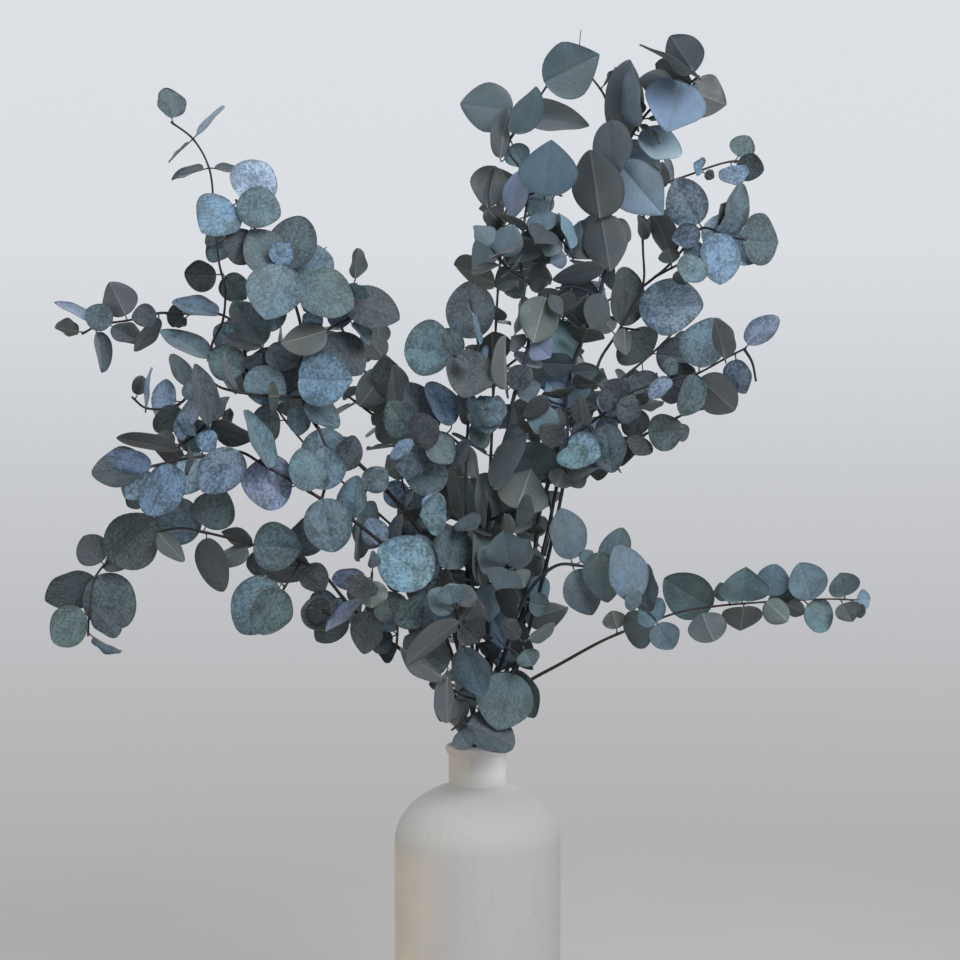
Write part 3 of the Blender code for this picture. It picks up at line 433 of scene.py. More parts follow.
# Small leaves that only the picture shows, by stem, as in the table of stems
SMALL_LEAVES = {
    "stem_upper_left": [
        (170, 122, 167, 89, 24, "G"), (193, 139, 222, 107, 14, "B"), (209, 168, 173, 177, 14, "D"),
        (209, 168, 240, 170, 11, "D"), (193, 139, 169, 160, 7, "G"), (207, 360, 236, 391, 8, "T"),
        (228, 228, 206, 243, 20, "D"), (272, 300, 272, 330, 24, "T"), (276, 262, 290, 246, 24, "B"),
        (357, 285, 358, 250, 17, "U"), (350, 284, 368, 296, 12, "T"), (326, 331, 304, 316, 22, "B"),
        (328, 330, 346, 303, 22, "B"), (350, 318, 370, 342, 12, "T"), (262, 345, 226, 338, 18, "D"),
        (262, 356, 244, 366, 14, "D"), (301, 405, 299, 434, 24, "T"), (81, 333, 57, 326, 15, "U"),
        (97, 326, 59, 300, 9, "L"), (96, 328, 106, 369, 9, "G"), (112, 325, 87, 311, 26, "G"),
        (108, 326, 139, 341, 20, "D"), (156, 312, 133, 318, 22, "D"), (159, 318, 136, 350, 10, "G"),
        (162, 312, 181, 317, 22, "D"), (190, 314, 176, 326, 6, "G"), (137, 399, 142, 377, 12, "D"),
        (146, 408, 151, 370, 10, "L"), (190, 392, 174, 355, 14, "D"), (184, 398, 208, 380, 22, "G"),
        (232, 236, 208, 258, 26, "T"), (182, 403, 158, 431, 22, "D"), (331, 288, 346, 320, 26, "G"),
        (308, 402, 338, 424, 24, "T"), (218, 315, 175, 301, 20, "T"),
    ],
    "stem_mid_left": [
        (208, 423, 227, 397, 18, "D"), (178, 448, 156, 437, 20, "D"), (194, 436, 181, 414, 14, "B"),
        (147, 490, 128, 505, 22, "D"), (200, 457, 212, 432, 22, "B"), (384, 542, 368, 520, 26, "L"),
        (368, 490, 385, 470, 26, "G"), (340, 470, 355, 438, 24, "D"), (178, 450, 122, 436, 16, "U"),
        (212, 424, 250, 440, 22, "D"),
    ],
    "stem_low_left": [
        (158, 534, 182, 560, 14, "U"), (88, 636, 118, 653, 12, "B"), (91, 606, 117, 634, 20, "D"),
        (252, 546, 221, 562, 20, "U"), (252, 545, 224, 531, 18, "U"), (254, 546, 261, 576, 22, "G"),
        (342, 597, 311, 604, 24, "T"), (345, 600, 327, 620, 18, "B"), (370, 578, 334, 580, 22, "L"),
        (362, 600, 327, 628, 13, "L"), (392, 634, 367, 612, 20, "B"), (396, 634, 371, 647, 22, "D"),
        (384, 640, 388, 662, 16, "D"), (372, 572, 374, 552, 10, "D"), (300, 566, 324, 588, 26, "K"),
        (398, 624, 420, 600, 26, "G"), (372, 575, 372, 606, 28, "U"),
    ],
    "stem_back_left": [
        (378, 345, 377, 322, 22, "U"), (382, 358, 368, 336, 24, "U"), (394, 402, 374, 424, 20, "U"),
        (402, 440, 378, 424, 26, "U"), (404, 462, 386, 472, 26, "U"), (410, 486, 386, 500, 28, "B"),
        (240, 345, 218, 330, 30, "T"), (402, 462, 412, 432, 26, "G"),
    ],
    "stem_centre_left": [
        (478, 346, 473, 311, 6, "B"), (462, 353, 455, 322, 12, "B"), (476, 352, 488, 353, 16, "B"),
        (462, 350, 446, 330, 20, "G"), (460, 352, 474, 366, 20, "D"), (484, 411, 470, 414, 30, "T"),
        (485, 411, 504, 414, 30, "T"), (472, 420, 486, 446, 20, "G"), (408, 440, 392, 458, 14, "B"),
        (446, 436, 418, 452, 12, "U"), (467, 440, 454, 468, 16, "D"), (467, 445, 474, 478, 18, "U"),
        (504, 390, 499, 340, 14, "U"), (505, 392, 528, 368, 24, "D"), (448, 512, 424, 500, 22, "B"),
        (468, 545, 482, 572, 24, "T"), (467, 425, 468, 375, 16, "U"), (430, 436, 450, 462, 28, "G"),
    ],
    "stem_centre": [
        (512, 140, 523, 166, 24, "T"), (490, 204, 489, 224, 14, "G"), (546, 230, 538, 208, 30, "T"),
        (545, 232, 536, 244, 32, "D"), (572, 254, 562, 214, 14, "B"), (575, 257, 577, 222, 16, "T"),
        (556, 238, 546, 256, 22, "G"), (571, 254, 551, 262, 18, "L"), (494, 249, 476, 226, 20, "G"),
        (522, 272, 496, 286, 26, "D"), (526, 276, 550, 280, 28, "K"), (522, 292, 507, 292, 10, "D"),
        (524, 296, 516, 334, 10, "U"), (550, 296, 562, 314, 14, "D"), (530, 338, 550, 356, 28, "L"),
        (527, 350, 512, 338, 20, "D"), (516, 392, 540, 384, 24, "G"), (512, 405, 500, 428, 22, "D"),
        (505, 438, 525, 438, 24, "G"), (518, 508, 532, 512, 30, "D"), (505, 513, 508, 542, 12, "U"),
        (512, 567, 524, 586, 24, "U"), (489, 590, 472, 604, 24, "G"), (488, 560, 478, 585, 12, "U"),
        (500, 158, 503, 108, 18, "U"), (497, 170, 503, 208, 24, "G"),
    ],
    "stem_top_right": [
        (598, 240, 570, 256, 24, "U"), (640, 126, 660, 142, 10, "D"), (698, 75, 645, 44, 10, "B"),
        (680, 110, 676, 80, 18, "B"), (618, 172, 598, 136, 18, "G"), (614, 184, 634, 206, 22, "B"),
        (604, 212, 612, 176, 16, "U"), (599, 220, 574, 234, 16, "T"), (606, 250, 610, 288, 12, "T"),
        (604, 268, 556, 279, 16, "G"), (600, 288, 562, 276, 18, "D"), (574, 364, 540, 363, 22, "G"),
        (573, 372, 598, 371, 18, "G"), (548, 398, 524, 414, 18, "D"), (563, 425, 545, 446, 24, "L"),
        (566, 405, 548, 382, 26, "B"), (525, 606, 516, 574, 18, "D"), (640, 128, 628, 72, 14, "L"),
        (536, 555, 526, 586, 26, "U"), (532, 578, 549, 608, 24, "T"), (528, 594, 568, 618, 18, "U"),
        (692, 82, 652, 62, 20, "D"), (556, 476, 590, 470, 24, "U"),
    ],
    "stem_upper_right": [
        (692, 232, 690, 262, 24, "B"), (642, 240, 641, 216, 14, "D"), (676, 262, 656, 211, 18, "U"),
        (672, 268, 668, 250, 20, "U"), (700, 231, 674, 239, 22, "L"), (680, 265, 684, 284, 18, "U"),
        (624, 330, 624, 354, 18, "U"), (616, 336, 602, 318, 20, "U"), (704, 170, 694, 166, 18, "B"),
        (700, 170, 711, 176, 10, "D"), (736, 162, 748, 137, 24, "G"), (732, 161, 762, 171, 24, "D"),
        (730, 162, 735, 186, 28, "B"), (598, 385, 612, 380, 30, "D"), (590, 401, 570, 424, 26, "K"),
        (699, 258, 685, 281, 30, "T"), (668, 338, 690, 350, 32, "G"), (582, 418, 604, 440, 28, "L"),
    ],
    "stem_mid_right": [
        (726, 360, 718, 320, 16, "U"), (668, 381, 672, 359, 16, "G"), (668, 382, 694, 370, 26, "K"),
        (672, 382, 650, 396, 16, "L"), (676, 382, 672, 402, 26, "D"), (632, 394, 648, 400, 12, "D"),
        (632, 403, 662, 403, 12, "U"), (618, 405, 640, 414, 26, "D"), (600, 434, 616, 422, 20, "L"),
        (640, 436, 628, 412, 28, "D"), (676, 421, 684, 440, 16, "D"), (646, 434, 634, 453, 26, "K"),
        (612, 446, 632, 456, 30, "U"), (567, 417, 588, 410, 26, "K"), (568, 440, 592, 428, 22, "D"),
        (565, 466, 556, 486, 24, "U"), (563, 486, 582, 468, 28, "U"), (567, 446, 578, 466, 30, "T"),
        (746, 347, 775, 317, 22, "L"), (735, 354, 742, 392, 22, "L"), (622, 404, 604, 386, 34, "D"),
    ],
    "stem_low_right": [
        (618, 633, 612, 612, 22, "U"), (730, 605, 720, 584, 16, "T"), (768, 602, 798, 594, 24, "D"),
        (766, 603, 786, 620, 24, "U"), (782, 602, 803, 613, 16, "U"), (846, 599, 838, 575, 30, "G"),
        (840, 600, 850, 619, 24, "D"), (852, 600, 871, 600, 20, "B"), (850, 600, 862, 616, 12, "U"),
    ],
    "stem_near_right": [
        (576, 565, 592, 552, 14, "G"), (640, 604, 662, 622, 32, "T"), (640, 604, 626, 596, 20, "T"),
        (524, 602, 548, 606, 22, "G"),
    ],
    "stem_front": [
        (456, 690, 466, 640, 10, "U"), (442, 678, 401, 652, 13, "U"), (456, 694, 441, 720, 24, "U"),
        (450, 686, 430, 684, 10, "D"), (466, 700, 455, 724, 18, "U"), (522, 645, 532, 664, 22, "G"),
        (523, 640, 554, 626, 10, "U"), (458, 622, 478, 640, 28, "K"), (456, 608, 448, 585, 28, "T"),
        (456, 610, 470, 588, 26, "D"), (480, 712, 508, 738, 22, "T"), (456, 728, 470, 746, 24, "D"),
        (447, 676, 444, 720, 18, "U"),
    ],
}

# Tones of the upper faces and of the smooth underside as they show on a screen in soft
# light, and how far single leaves differ from them. A leaf's tone holds the light or shade
# it stands in as well as its own colour: P is partly painted light on leaves that lie in
# shade, and D, K and the dark underside are partly painted shade.
TONES = {
    "P": (148, 172, 192),
    "B": (106, 132, 153),
    "L": (112, 129, 150),
    "T": (86, 109, 119),
    "G": (77, 93, 98),
    "D": (62, 72, 76),
    "K": (30, 35, 38),
    "U": (83, 101, 108),
}
UNDERSIDE = (86, 94, 95)
DARK_UNDERSIDE = (60, 65, 66)
TONE_SPREAD = 0.10
HUE_SPREAD = 0.03
BRIGHTEN = 0.87
SCREEN_GAMMA = 2.2
TINT_SEED = 5000

# How speckled the bloom of a stem's leaves is
SPECKLE = {"stem_centre": 0.15, "stem_top_right": 0.12, "stem_low_right": 0.5,
           "stem_near_right": 0.45, "stem_front": 0.6}

# How pointed the tips of a stem's leaves are, where it isn't the usual range
SHARP_STEMS = {"stem_centre": (0.5, 1.0), "stem_top_right": (0.3, 0.9)}

# Bare twigs that only the picture shows, as in the table of stems
BARE_TWIGS = {"stem_centre": [(18, [(550, 81), (576, 58), (581, 30)])]}

# The thick stems that are dyed blue
BLUE_STEMS = ("stem_centre", "stem_top_right", "stem_centre_left", "stem_near_right",
              "stem_mid_right")

# What a leaf's or a twig's own tint is multiplied by
RUBBED = (0.37, 0.43, 0.44, 1.0)
POWDER = (1.40, 1.39, 1.40, 1.0)
WARM_CAST = (1.04, 0.98, 0.93, 1.0)
COOL_CAST = (0.95, 1.01, 1.08, 1.0)
BARK_STREAK = (2.6, 2.8, 3.2, 1.0)

# Colours as they show on a screen
PALE_DUST = (150, 172, 190)
RIB_COLOUR = (140, 142, 132)
RIM_COLOUR = (52, 56, 56)
BROWN_BARK = (42, 37, 39)
BLUE_BARK = (40, 47, 58)
PETIOLE = (66, 70, 70)
PAINT = (160, 158, 155)
# Painted light on the bottle: a warm glow low on its left, light on its shoulder's left and on its neck
PAINTED_WARM_LIGHT = (200, 186, 165)
PAINTED_LIGHT_ON_SHOULDER = (172, 174, 170)
NECK_PAINTED_LIGHT = (187, 186, 185)
NECK_LEFT_PAINTED_LIGHT = (186, 178, 165)
COOL_PAINT = (157, 159, 160)
SCRATCH_PAINT = (148, 145, 139)
MARK_PAINT = (134, 130, 122)
FLOOR_LIGHT = (169, 166, 164)
FLOOR_DARK = (161, 158, 156)

# Noise in the materials, as (features a metre, detail, roughness), and how it is drawn out
LEAF_CLOUDS = (85.0, 3.0, 0.6)
LEAF_GRAIN = (480.0, 6.0, 0.72)
LEAF_DUST = (1500.0, 2.0, 0.6)
LEAF_CASTS = (40.0, 2.0, 0.6)
BARK_STREAKS = (700.0, 4.0, 0.6)
BARK_PATCHES = (60.0, 2.0, 0.6)
BRUSH_MARKS = (260.0, 5.0, 0.55)
PAINT_CLOUDS = (26.0, 3.0, 0.6)
PAINT_GRIT = (1400.0, 3.0, 0.6)
PAINT_PITS = (420.0, 2.0, 0.6)
FLOOR_CLOUDS = (12.0, 4.0, 0.6)
BARK_STRETCH = (1.0, 1.0, 0.16)
BRUSH_STRETCH = (1.0, 1.0, 0.10)
BRUSH_LEAN = (0.0, 0.35, 0.2)

# The leaf's veins: pairs of side veins, how they bend forward and wander, and the net
VEIN_PAIRS = 8.0
VEIN_BEND = 0.75
VEIN_WANDER = 0.16
NET_SCALE = 620.0

# Soft steps in the materials, as (from, to) or (from, to, value before, value after)
MIDRIB = (0.022, 0.006)
SIDE_VEIN = (0.10, 0.02)
NET_VEIN = (0.10, 0.0, 0.0, 0.6)
BLOOM = (0.40, 0.56)
WORN_RIM = (0.45, 1.0, 0.0, 0.06)
DUST_SPECKS = (0.56, 0.70, 0.0, 0.35)
EVEN_BLOOM = (0.35, 0.65, 0.0, 0.35)
RUBBED_BELOW = (0.3, 0.7, 0.0, 0.25)
CAST = (0.36, 0.62)
RIM_BAND = (0.90, 1.0, 0.0, 0.45)
LEAF_ROUGHNESS = (0.0, 1.0, 0.50, 0.68)
PALE_BARK = (0.52, 0.70)
PALE_BARK_PATCHES = (0.35, 0.65, 0.15, 0.75)
BARK_ROUGHNESS = (0.3, 0.7, 0.50, 0.75)
COOL_CLOUDS = (0.35, 0.65, 0.0, 0.30)
SCRATCHES = (0.56, 0.72, 0.0, 0.22)
PITS = (0.66, 0.74, 0.0, 0.30)
PAINT_ROUGHNESS = (0.2, 0.8, 0.74, 0.86)

# Steps across the bottle and up it, in metres, where its paint and painted light change: the warm glow
# low on the left, the light on the shoulder's left and the neck
WARM_SIDE = (-0.012, -0.058)
WARM_BELOW = (0.186, 0.145)
PALE_SIDE = (0.020, -0.058)
PALE_ABOVE = (0.145, 0.186)
NECK_SIDE = (0.004, -0.016)
NECK_ABOVE = (0.190, 0.206)

# Shares in the materials: of the two noises in the bloom, of the veins' depth without and
# with speckles, of the pale veins beneath, of the casts, and of two heights in a relief
BLOOM_SHARES = (0.36, 0.64)
VEIN_DEPTHS = (0.12, 0.40)
PALE_VEIN = 0.18
PALE_RIB = 0.5
CAST_STRENGTH = 0.8
LEAF_HEIGHTS = (0.6, 0.4)
PAINT_HEIGHTS = (0.6, 0.25)
LEAF_SHEEN = 0.12
SHEEN_ROUGHNESS = 0.5
BARK_GLOSS = 0.35
PAINT_GLOSS = 0.3

# Depth of the relief drawn by the shaders
LEAF_RELIEF = 0.00016
BARK_RELIEF = 0.00020
PAINT_RELIEF = 0.00022

# Small pairs of leaves added between the large ones: how far apart on the back stems, in
# points of a twig's line, their sizes and how they stand
FILLER_START = 40
FILLER_SPACING = 11
FILLER_SIZES = (0.018, 0.027)
FILLER_TONES = "TGB"
FILLER_SIDEWAYS = Vector((0.2, 0.4, 1.0))
FILLER_TURN = 1.2
FILLER_FORWARD = (0.2, 0.8)

# Where the photograph's foliage has no gaps, as ellipses (x, y, half width, half height
# in pixels), the places on a leaf that have to lie in one of them, how closely small
# leaves are tried there along the twigs, and their tones, mostly dark and nearly black:
# painted shade between the large leaves
DENSE_PARTS = ((475, 650, 58, 95), (465, 540, 80, 95), (560, 425, 90, 62), (440, 440, 75, 62),
               (525, 235, 60, 75), (560, 320, 55, 70), (290, 285, 70, 65), (285, 365, 70, 50),
               (200, 455, 60, 55), (645, 130, 55, 75), (700, 235, 60, 45), (345, 600, 50, 45))
LEAF_SPOTS = ((0.0, 0.0), (0.25, 1.0), (0.25, -1.0), (0.6, 1.0), (0.6, -1.0), (1.0, 0.0))
DENSE_START = 2
DENSE_SPACING = 4
DENSE_SHADE_TONES = "GDKK"

# Floor, room and lamps: a lamp's place, size, power and colour
FLOOR_RADIUS = 1.5
FLOOR_SIDES = 64
FLOOR_DROP = 0.0002
FADE_START = 0.12
FADE_END = 1.1
FLOOR_ROUGHNESS = 0.8
ROOM = ((0.0, (168, 161, 154)), (0.385, (170, 168, 168)), (0.44, (182, 182, 184)),
        (0.50, (199, 201, 205)), (0.56, (218, 222, 227)), (1.0, (226, 230, 236)))
ROOM_STRENGTH = 1.0
LAMP_AIM = Vector((0.0, 0.0, 0.36))
LAMPS = {
    "key": ((0.9, -1.6, 1.4), 1.1, 40.0, (0.97, 0.98, 1.0)),
    "fill": ((-1.5, -0.9, 0.5), 1.0, 5.0, (1.0, 0.94, 0.87)),
    "back": ((0.5, 1.7, 1.3), 1.2, 9.0, (0.96, 0.98, 1.0)),
}


def from_photo(px, py, depth):
    """The point seen at pixel (px, py), depth mm nearer the viewer than the axis."""
    scale = PIXEL * (1.0 - depth * MM / VIEW_DISTANCE)
    return Vector((CAMERA_X + (px - CENTRE_PX) * scale, -depth * MM,
                   CAMERA_Z + (CENTRE_PX - py) * scale))


def to_photo(place):
    """The pixel at which the viewer sees a point."""
    scale = PIXEL * (1.0 + place.y / VIEW_DISTANCE)
    return (CENTRE_PX + (place.x - CAMERA_X) / scale,
            CENTRE_PX + (CAMERA_Z - place.z) / scale)


def neck_place(stem):
    """A stem's place in the neck, seen from above."""
    if stem["ring"] == "outer":
        radius, angle = OUTER_RING, math.tau * stem["slot"] / OUTER_SLOTS
    else:
        radius, angle = INNER_RING, math.tau * (stem["slot"] + 0.5) / INNER_SLOTS
    return Vector((radius * math.cos(angle), -radius * math.sin(angle), 0.0))


def in_neck(stem):
    """The points of a stem from the bottle's floor to just above its mouth."""
    place = neck_place(stem)
    foot = place * FOOT_SPREAD + Vector((0.0, 0.0, FLOOR + GAP))
    return [foot, place + Vector((0.0, 0.0, SHOULDER_END)),
            place * MOUTH_SPREAD + Vector((0.0, 0.0, BOTTLE_HEIGHT + ABOVE_MOUTH))]


def with_depth(route, start, middle, end):
    """Route points as (px, py, depth), the depth going from start by way of middle to end."""
    steps = [0.0]
    for a, b in zip(route, route[1:]):
        steps.append(steps[-1] + math.dist(a, b))
    out = []
    for (px, py), step in zip(route, steps):
        s = step / steps[-1]
        straight = start + (end - start) * s
        out.append((px, py, straight + (middle - (start + end) / 2) * 4 * s * (1 - s)))
    return out


def nearest_on(runs, px, py):
    """The point of the runs nearest to pixel (px, py), and how many pixels away it is."""
    best, best_away = None, math.inf
    for run in runs:
        for a, b in zip(run, run[1:]):
            along = (b[0] - a[0], b[1] - a[1])
            size = math.hypot(*along)
            t = ((px - a[0]) * along[0] + (py - a[1]) * along[1]) / size ** 2
            t = min(1.0 - END_PX / size, max(0.0, t))
            spot = tuple(p + (q - p) * t for p, q in zip(a, b))
            away = math.dist(spot[:2], (px, py))
            if away < best_away:
                best, best_away = spot, away
    return best, best_away


def side_run(runs, end, route):
    """The route of a side twig, from the nearest point of its stem's runs."""
    spot, _ = nearest_on(runs, *route[0])
    return with_depth([spot[:2]] + route[1:], spot[2], (spot[2] + end) / 2, end)


def stem_runs(stem):
    """The routes of a stem and its side twigs, as lists of (px, py, depth)."""
    start = -neck_place(stem).y / MM * START_SPREAD
    middle = stem.get("mid_depth", (start + stem["end_depth"]) / 2)
    runs = [with_depth(stem["route"], start, middle, stem["end_depth"])]
    for end, route in stem["twigs"]:
        runs.append(side_run(runs, end, route))
    return runs


def back_runs(stem):
    """The routes of a back stem and its side twigs, as lists of points."""
    draw = random.Random(stem["seed"])
    start = in_neck(stem)[-1]
    heading = math.radians(stem["heading"])
    out = Vector((math.cos(heading), math.sin(heading), 0.0))
    across = Vector((out.y, -out.x, 0.0))
    rise = Vector((0.0, 0.0, stem["height"] - start.z))
    main = []
    for i in range(1, BACK_STEPS + 1):
        t = i / BACK_STEPS
        sway = across * BACK_SWAY * t * math.sin(BACK_SWAY_TURN * t + stem["seed"])
        main.append(start + out * stem["spread"] * t ** BACK_LEAN + sway + rise * t)
    runs = [main]
    for begin, sign in zip(BACK_TWIG_STARTS, stem["twigs"]):
        turn = heading + sign * math.radians(BACK_TWIG_TURN)
        aim = Vector((math.cos(turn), math.sin(turn), draw.uniform(*BACK_TWIG_RISE)))
        aim.normalize()
        runs.append([main[begin] + aim * BACK_TWIG_STEP * k
                     - Vector((0.0, 0.0, BACK_TWIG_DROOP * k * k))
                     for k in range(BACK_TWIG_POINTS)])
    return runs


def half_width(u):
    """Half of the leaf's width at u along it, as a part of its greatest half width."""
    if u < WIDEST:
        return math.sqrt(max(0.0, 1.0 - ((WIDEST - u) / WIDEST) ** 2))
    inner, outer = TIP_POWERS
    return max(0.0, 1.0 - ((u - WIDEST) / (1.0 - WIDEST)) ** inner) ** outer


class Leaf:
    """A leaf's blade: where it starts, which way it points and how it is curved."""

    def __init__(self, root, base, along, normal, length, width, fold, bend):
        self.root = root
        self.along = along.normalized()
        if (base - root).length < STALK:
            base = root + self.along * STALK
            length = max(length - STALK, 2.0 * STALK)
        self.base = base
        self.normal = (normal - self.along * normal.dot(self.along)).normalized()
        self.side = self.along.cross(self.normal)
        self.length = length
        self.width = width
        self.fold = fold
        self.bend = bend

    def point(self, u, v):
        """A point of the blade, u along it and v across it from -1 to 1."""
        out = v * half_width(u) * self.width / 2
        rise = self.fold * abs(out) - self.bend * self.length * u * u
        return (self.base + self.along * (self.length * u) + self.side * out
                + self.normal * rise)

    def surface(self, grow, stalked):
        """Vertices and triangles of the open blade, with the stalk to the twig."""
        stalk = self.side * STALK_HALF
        left = [self.point(u, -grow) for u in BLADE_ROWS]
        right = [self.point(u, grow) for u in BLADE_ROWS]
        rim = [self.base - stalk] + left + [self.point(1.0, 0.0)]
        rim += right[::-1] + [self.base + stalk]
        verts = [self.point(WIDEST, 0.0)] + rim
        count = len(rim)
        faces = [(0, 1 + i, 1 + (i + 1) % count) for i in range(count)]
        if stalked:
            verts += [self.root - stalk, self.root + stalk]
            faces += [(1, count, count + 2), (1, count + 2, count + 1)]
        return verts, faces

    def probe(self, stalked=True):
        """A slightly larger closed blade, for finding what it would touch."""
        verts, faces = self.surface(PROBE_GROW, stalked)
        sides = {(a, b) for face in faces for a, b in zip(face, face[1:] + face[:1])}
        rim = [(a, b) for a, b in sides if (b, a) not in sides]
        count = len(verts)
        shell = [p + self.normal * CLEAR for p in verts]
        shell += [p - self.normal * CLEAR for p in verts]
        solid = faces + [tuple(i + count for i in face) for face in faces]
        for a, b in sorted(rim):
            solid += [(a, b, b + count), (a, b + count, a + count)]
        return BVHTree.FromPolygons(shell, solid)


def seen_leaf(row, runs, number, lift=0.0, tip_turn=0.0, roll_turn=0.0, shrink=1.0):
    """The leaf of a table row, growing from the nearest of its stem's routes."""
    base_x, base_y, tip_x, tip_y, seen_width, tone = row
    spot, away = nearest_on(runs, base_x, base_y)
    if away < SNAP_PX:
        base_x, base_y = spot[:2]
    base = from_photo(base_x, base_y, spot[2] + lift)
    across = (tip_x - base_x) * shrink * LENGTH_GROW
    down = (tip_y - base_y) * shrink * LENGTH_GROW
    scale = PIXEL * (1.0 - spot[2] * MM / VIEW_DISTANCE)
    seen_length = math.hypot(across, down) * scale
    seen_width = seen_width * shrink * WIDTH_GROW * scale
    length = max(seen_length, seen_width)
    width = max(seen_width, WIDTH_TO_LENGTH * length)
    lean = math.acos(seen_length / length)
    lean = (lean if number % 3 else -lean) + math.radians(tip_turn)
    roll = math.acos(seen_width / width)
    roll = (roll if number % 2 else -roll) + math.radians(roll_turn)
    flat = Vector((across, 0.0, -down)).normalized()
    along = flat * math.cos(lean) + TOWARDS_VIEWER * math.sin(lean)
    face = TOWARDS_VIEWER * math.cos(lean) - flat * math.sin(lean)
    normal = Matrix.Rotation(roll, 3, along) @ face
    draw = random.Random(number)
    return Leaf(from_photo(*spot), base, along, -normal if tone == "U" else normal,
                length, width, draw.uniform(*FOLDS), draw.uniform(*BENDS))


def tries():
    """Ways to move a leaf that would touch something, the smallest change first."""
    yield {}
    for shrink in SHRINKS:
        for tip_turn in TIP_TURNS:
            for lift in TIP_LIFTS:
                yield {"lift": lift, "tip_turn": tip_turn, "shrink": shrink}
        for roll_turn in ROLL_TURNS:
            for lift in ROLL_LIFTS:
                yield {"lift": lift, "roll_turn": roll_turn, "shrink": shrink}


def leaf_pair(root, axis, sideways, turn, size, forward, draw):
    """Two opposite leaves, turned round the twig from the sideways heading."""
    across = Matrix.Rotation(turn, 3, axis) @ axis.cross(sideways).normalized()
    for sign in (1.0, -1.0):
        along = (across * sign + axis * draw.uniform(*forward)).normalized()
        normal = Matrix.Rotation(draw.uniform(*PAIR_ROLL), 3, along) @ axis
        yield Leaf(root, root, along, normal, size, size * WIDTH_TO_LENGTH,
                   draw.uniform(*FOLDS), draw.uniform(*BENDS))


def back_leaves(runs, seed):
    """Opposite pairs of leaves, each pair turned across the last, along a back stem."""
    draw = random.Random(seed)
    spots = []
    for run, place in zip(runs, FIRST_PAIRS):
        while place <= len(run) - 1:
            spots.append((run, place))
            place += PAIR_SPACING
    for count, (run, place) in enumerate(spots):
        index = min(int(place), len(run) - 2)
        root = run[index].lerp(run[index + 1], place - index)
        axis = (run[index + 1] - run[index]).normalized()
        size = BACK_LEAF if place < len(run) - TIP_STRETCH else BACK_TIP_LEAF
        size *= draw.uniform(*BACK_LEAF_SIZES)
        turn = math.pi / 2 * (count % 2) + PAIR_TURN
        yield from leaf_pair(root, axis, PAIR_SIDEWAYS, turn, size, PAIR_FORWARD, draw)


def filler_leaves(paths, seed, start, spacing):
    """Small pairs of leaves between the large ones along the twigs of a stem."""
    draw = random.Random(seed)
    for points in paths:
        first = min(len(points) - 2, start)
        for count, index in enumerate(range(first, len(points) - 1, spacing)):
            axis = (points[index + 1] - points[index]).normalized()
            size = draw.uniform(*FILLER_SIZES)
            turn = math.pi / 2 * (count % 2) + FILLER_TURN
            yield from leaf_pair(points[index], axis, FILLER_SIDEWAYS, turn, size,
                                 FILLER_FORWARD, draw)


def in_dense_part(leaf):
    """Whether the picture shows all of the leaf where the foliage is dense."""
    spots = [to_photo(leaf.point(u, v)) for u, v in LEAF_SPOTS]
    return any(all(math.hypot((px - x) / across, (py - y) / down) < 1.0 for px, py in spots)
               for x, y, across, down in DENSE_PARTS)


class Crowd:
    """Everything placed so far, to keep the next leaf clear of it."""

    def __init__(self):
        self.solids = []
        self.blades = []

    def add_solid(self, node, mesh):
        """Add a mesh that belongs to the part's node."""
        faces = [tuple(face.vertices) for face in mesh.polygons]
        verts = [vert.co.copy() for vert in mesh.vertices]
        self.solids.append((node, BVHTree.FromPolygons(verts, faces)))

    def take(self, node, leaf):
        """Add the leaf if it is clear of everything, and say whether it was."""
        whole, blade = leaf.probe(), leaf.probe(stalked=False)
        for other, tree in self.solids:
            if (blade if other == node else whole).overlap(tree):
                return False
        middle = leaf.point(0.5, 0.0)
        for other, centre, length, other_whole, other_blade in self.blades:
            if (centre - middle).length > length + leaf.length:
                continue
            if blade.overlap(other_blade) if other == node else whole.overlap(other_whole):
                return False
        self.blades.append((node, middle, leaf.length, whole, blade))
        return True


def display(red, green, blue):
    """A colour given as it shows on a screen, 0 to 255, as linear values with alpha."""
    return (*((value / 255.0) ** SCREEN_GAMMA for value in (red, green, blue)), 1.0)


def new_object(name, data):
    """An object of the data, placed in the scene."""
    obj = bpy.data.objects.new(name, data)
    bpy.context.scene.collection.objects.link(obj)
    return obj


def evaluated_mesh(obj):
    """A new mesh of the object as its modifiers or bevel leave it."""
    bpy.context.view_layer.update()
    graph = bpy.context.evaluated_depsgraph_get()
    return bpy.data.meshes.new_from_object(obj.evaluated_get(graph))


def rough_tube(points, radii, roundness):
    """A twig as the part's solid has it, for the crowd only."""
    curve = bpy.data.curves.new("rough", "CURVE")
    curve.dimensions = "3D"
    curve.bevel_depth = MM
    curve.bevel_resolution = roundness
    curve.use_fill_caps = True
    spline = curve.splines.new("POLY")
    spline.points.add(len(points) - 1)
    for i, (target, point) in enumerate(zip(spline.points, points)):
        target.co = (*point, 1.0)
        taper = (1.0 - i / (len(points) - 1)) ** TAPER
        target.radius = radii[1] + (radii[0] - radii[1]) * taper
    holder = new_object("rough", curve)
    mesh = evaluated_mesh(holder)
    bpy.data.objects.remove(holder)
    bpy.data.curves.remove(curve)
    return mesh


def smooth_line(points, spacing):
    """A smooth curve through the points, and where on the old line each new one lies."""
    heads = []
    for i, point in enumerate(points):
        before = (point - points[i - 1]).normalized() if i else Vector()
        after = (points[i + 1] - point).normalized() if i < len(points) - 1 else Vector()
        heads.append((before + after).normalized())
    line, places = [points[0].copy()], [0.0]
    for i, (a, b) in enumerate(zip(points, points[1:])):
        span = (b - a).length
        steps = max(2, round(span / spacing))
        for k in range(1, steps + 1):
            t = k / steps
            line.append(a * (2 * t ** 3 - 3 * t ** 2 + 1) + b * (3 * t ** 2 - 2 * t ** 3)
                        + heads[i] * (span * (t ** 3 - 2 * t ** 2 + t))
                        + heads[i + 1] * (span * (t ** 3 - t ** 2)))
            places.append(i + t)
    return line, places


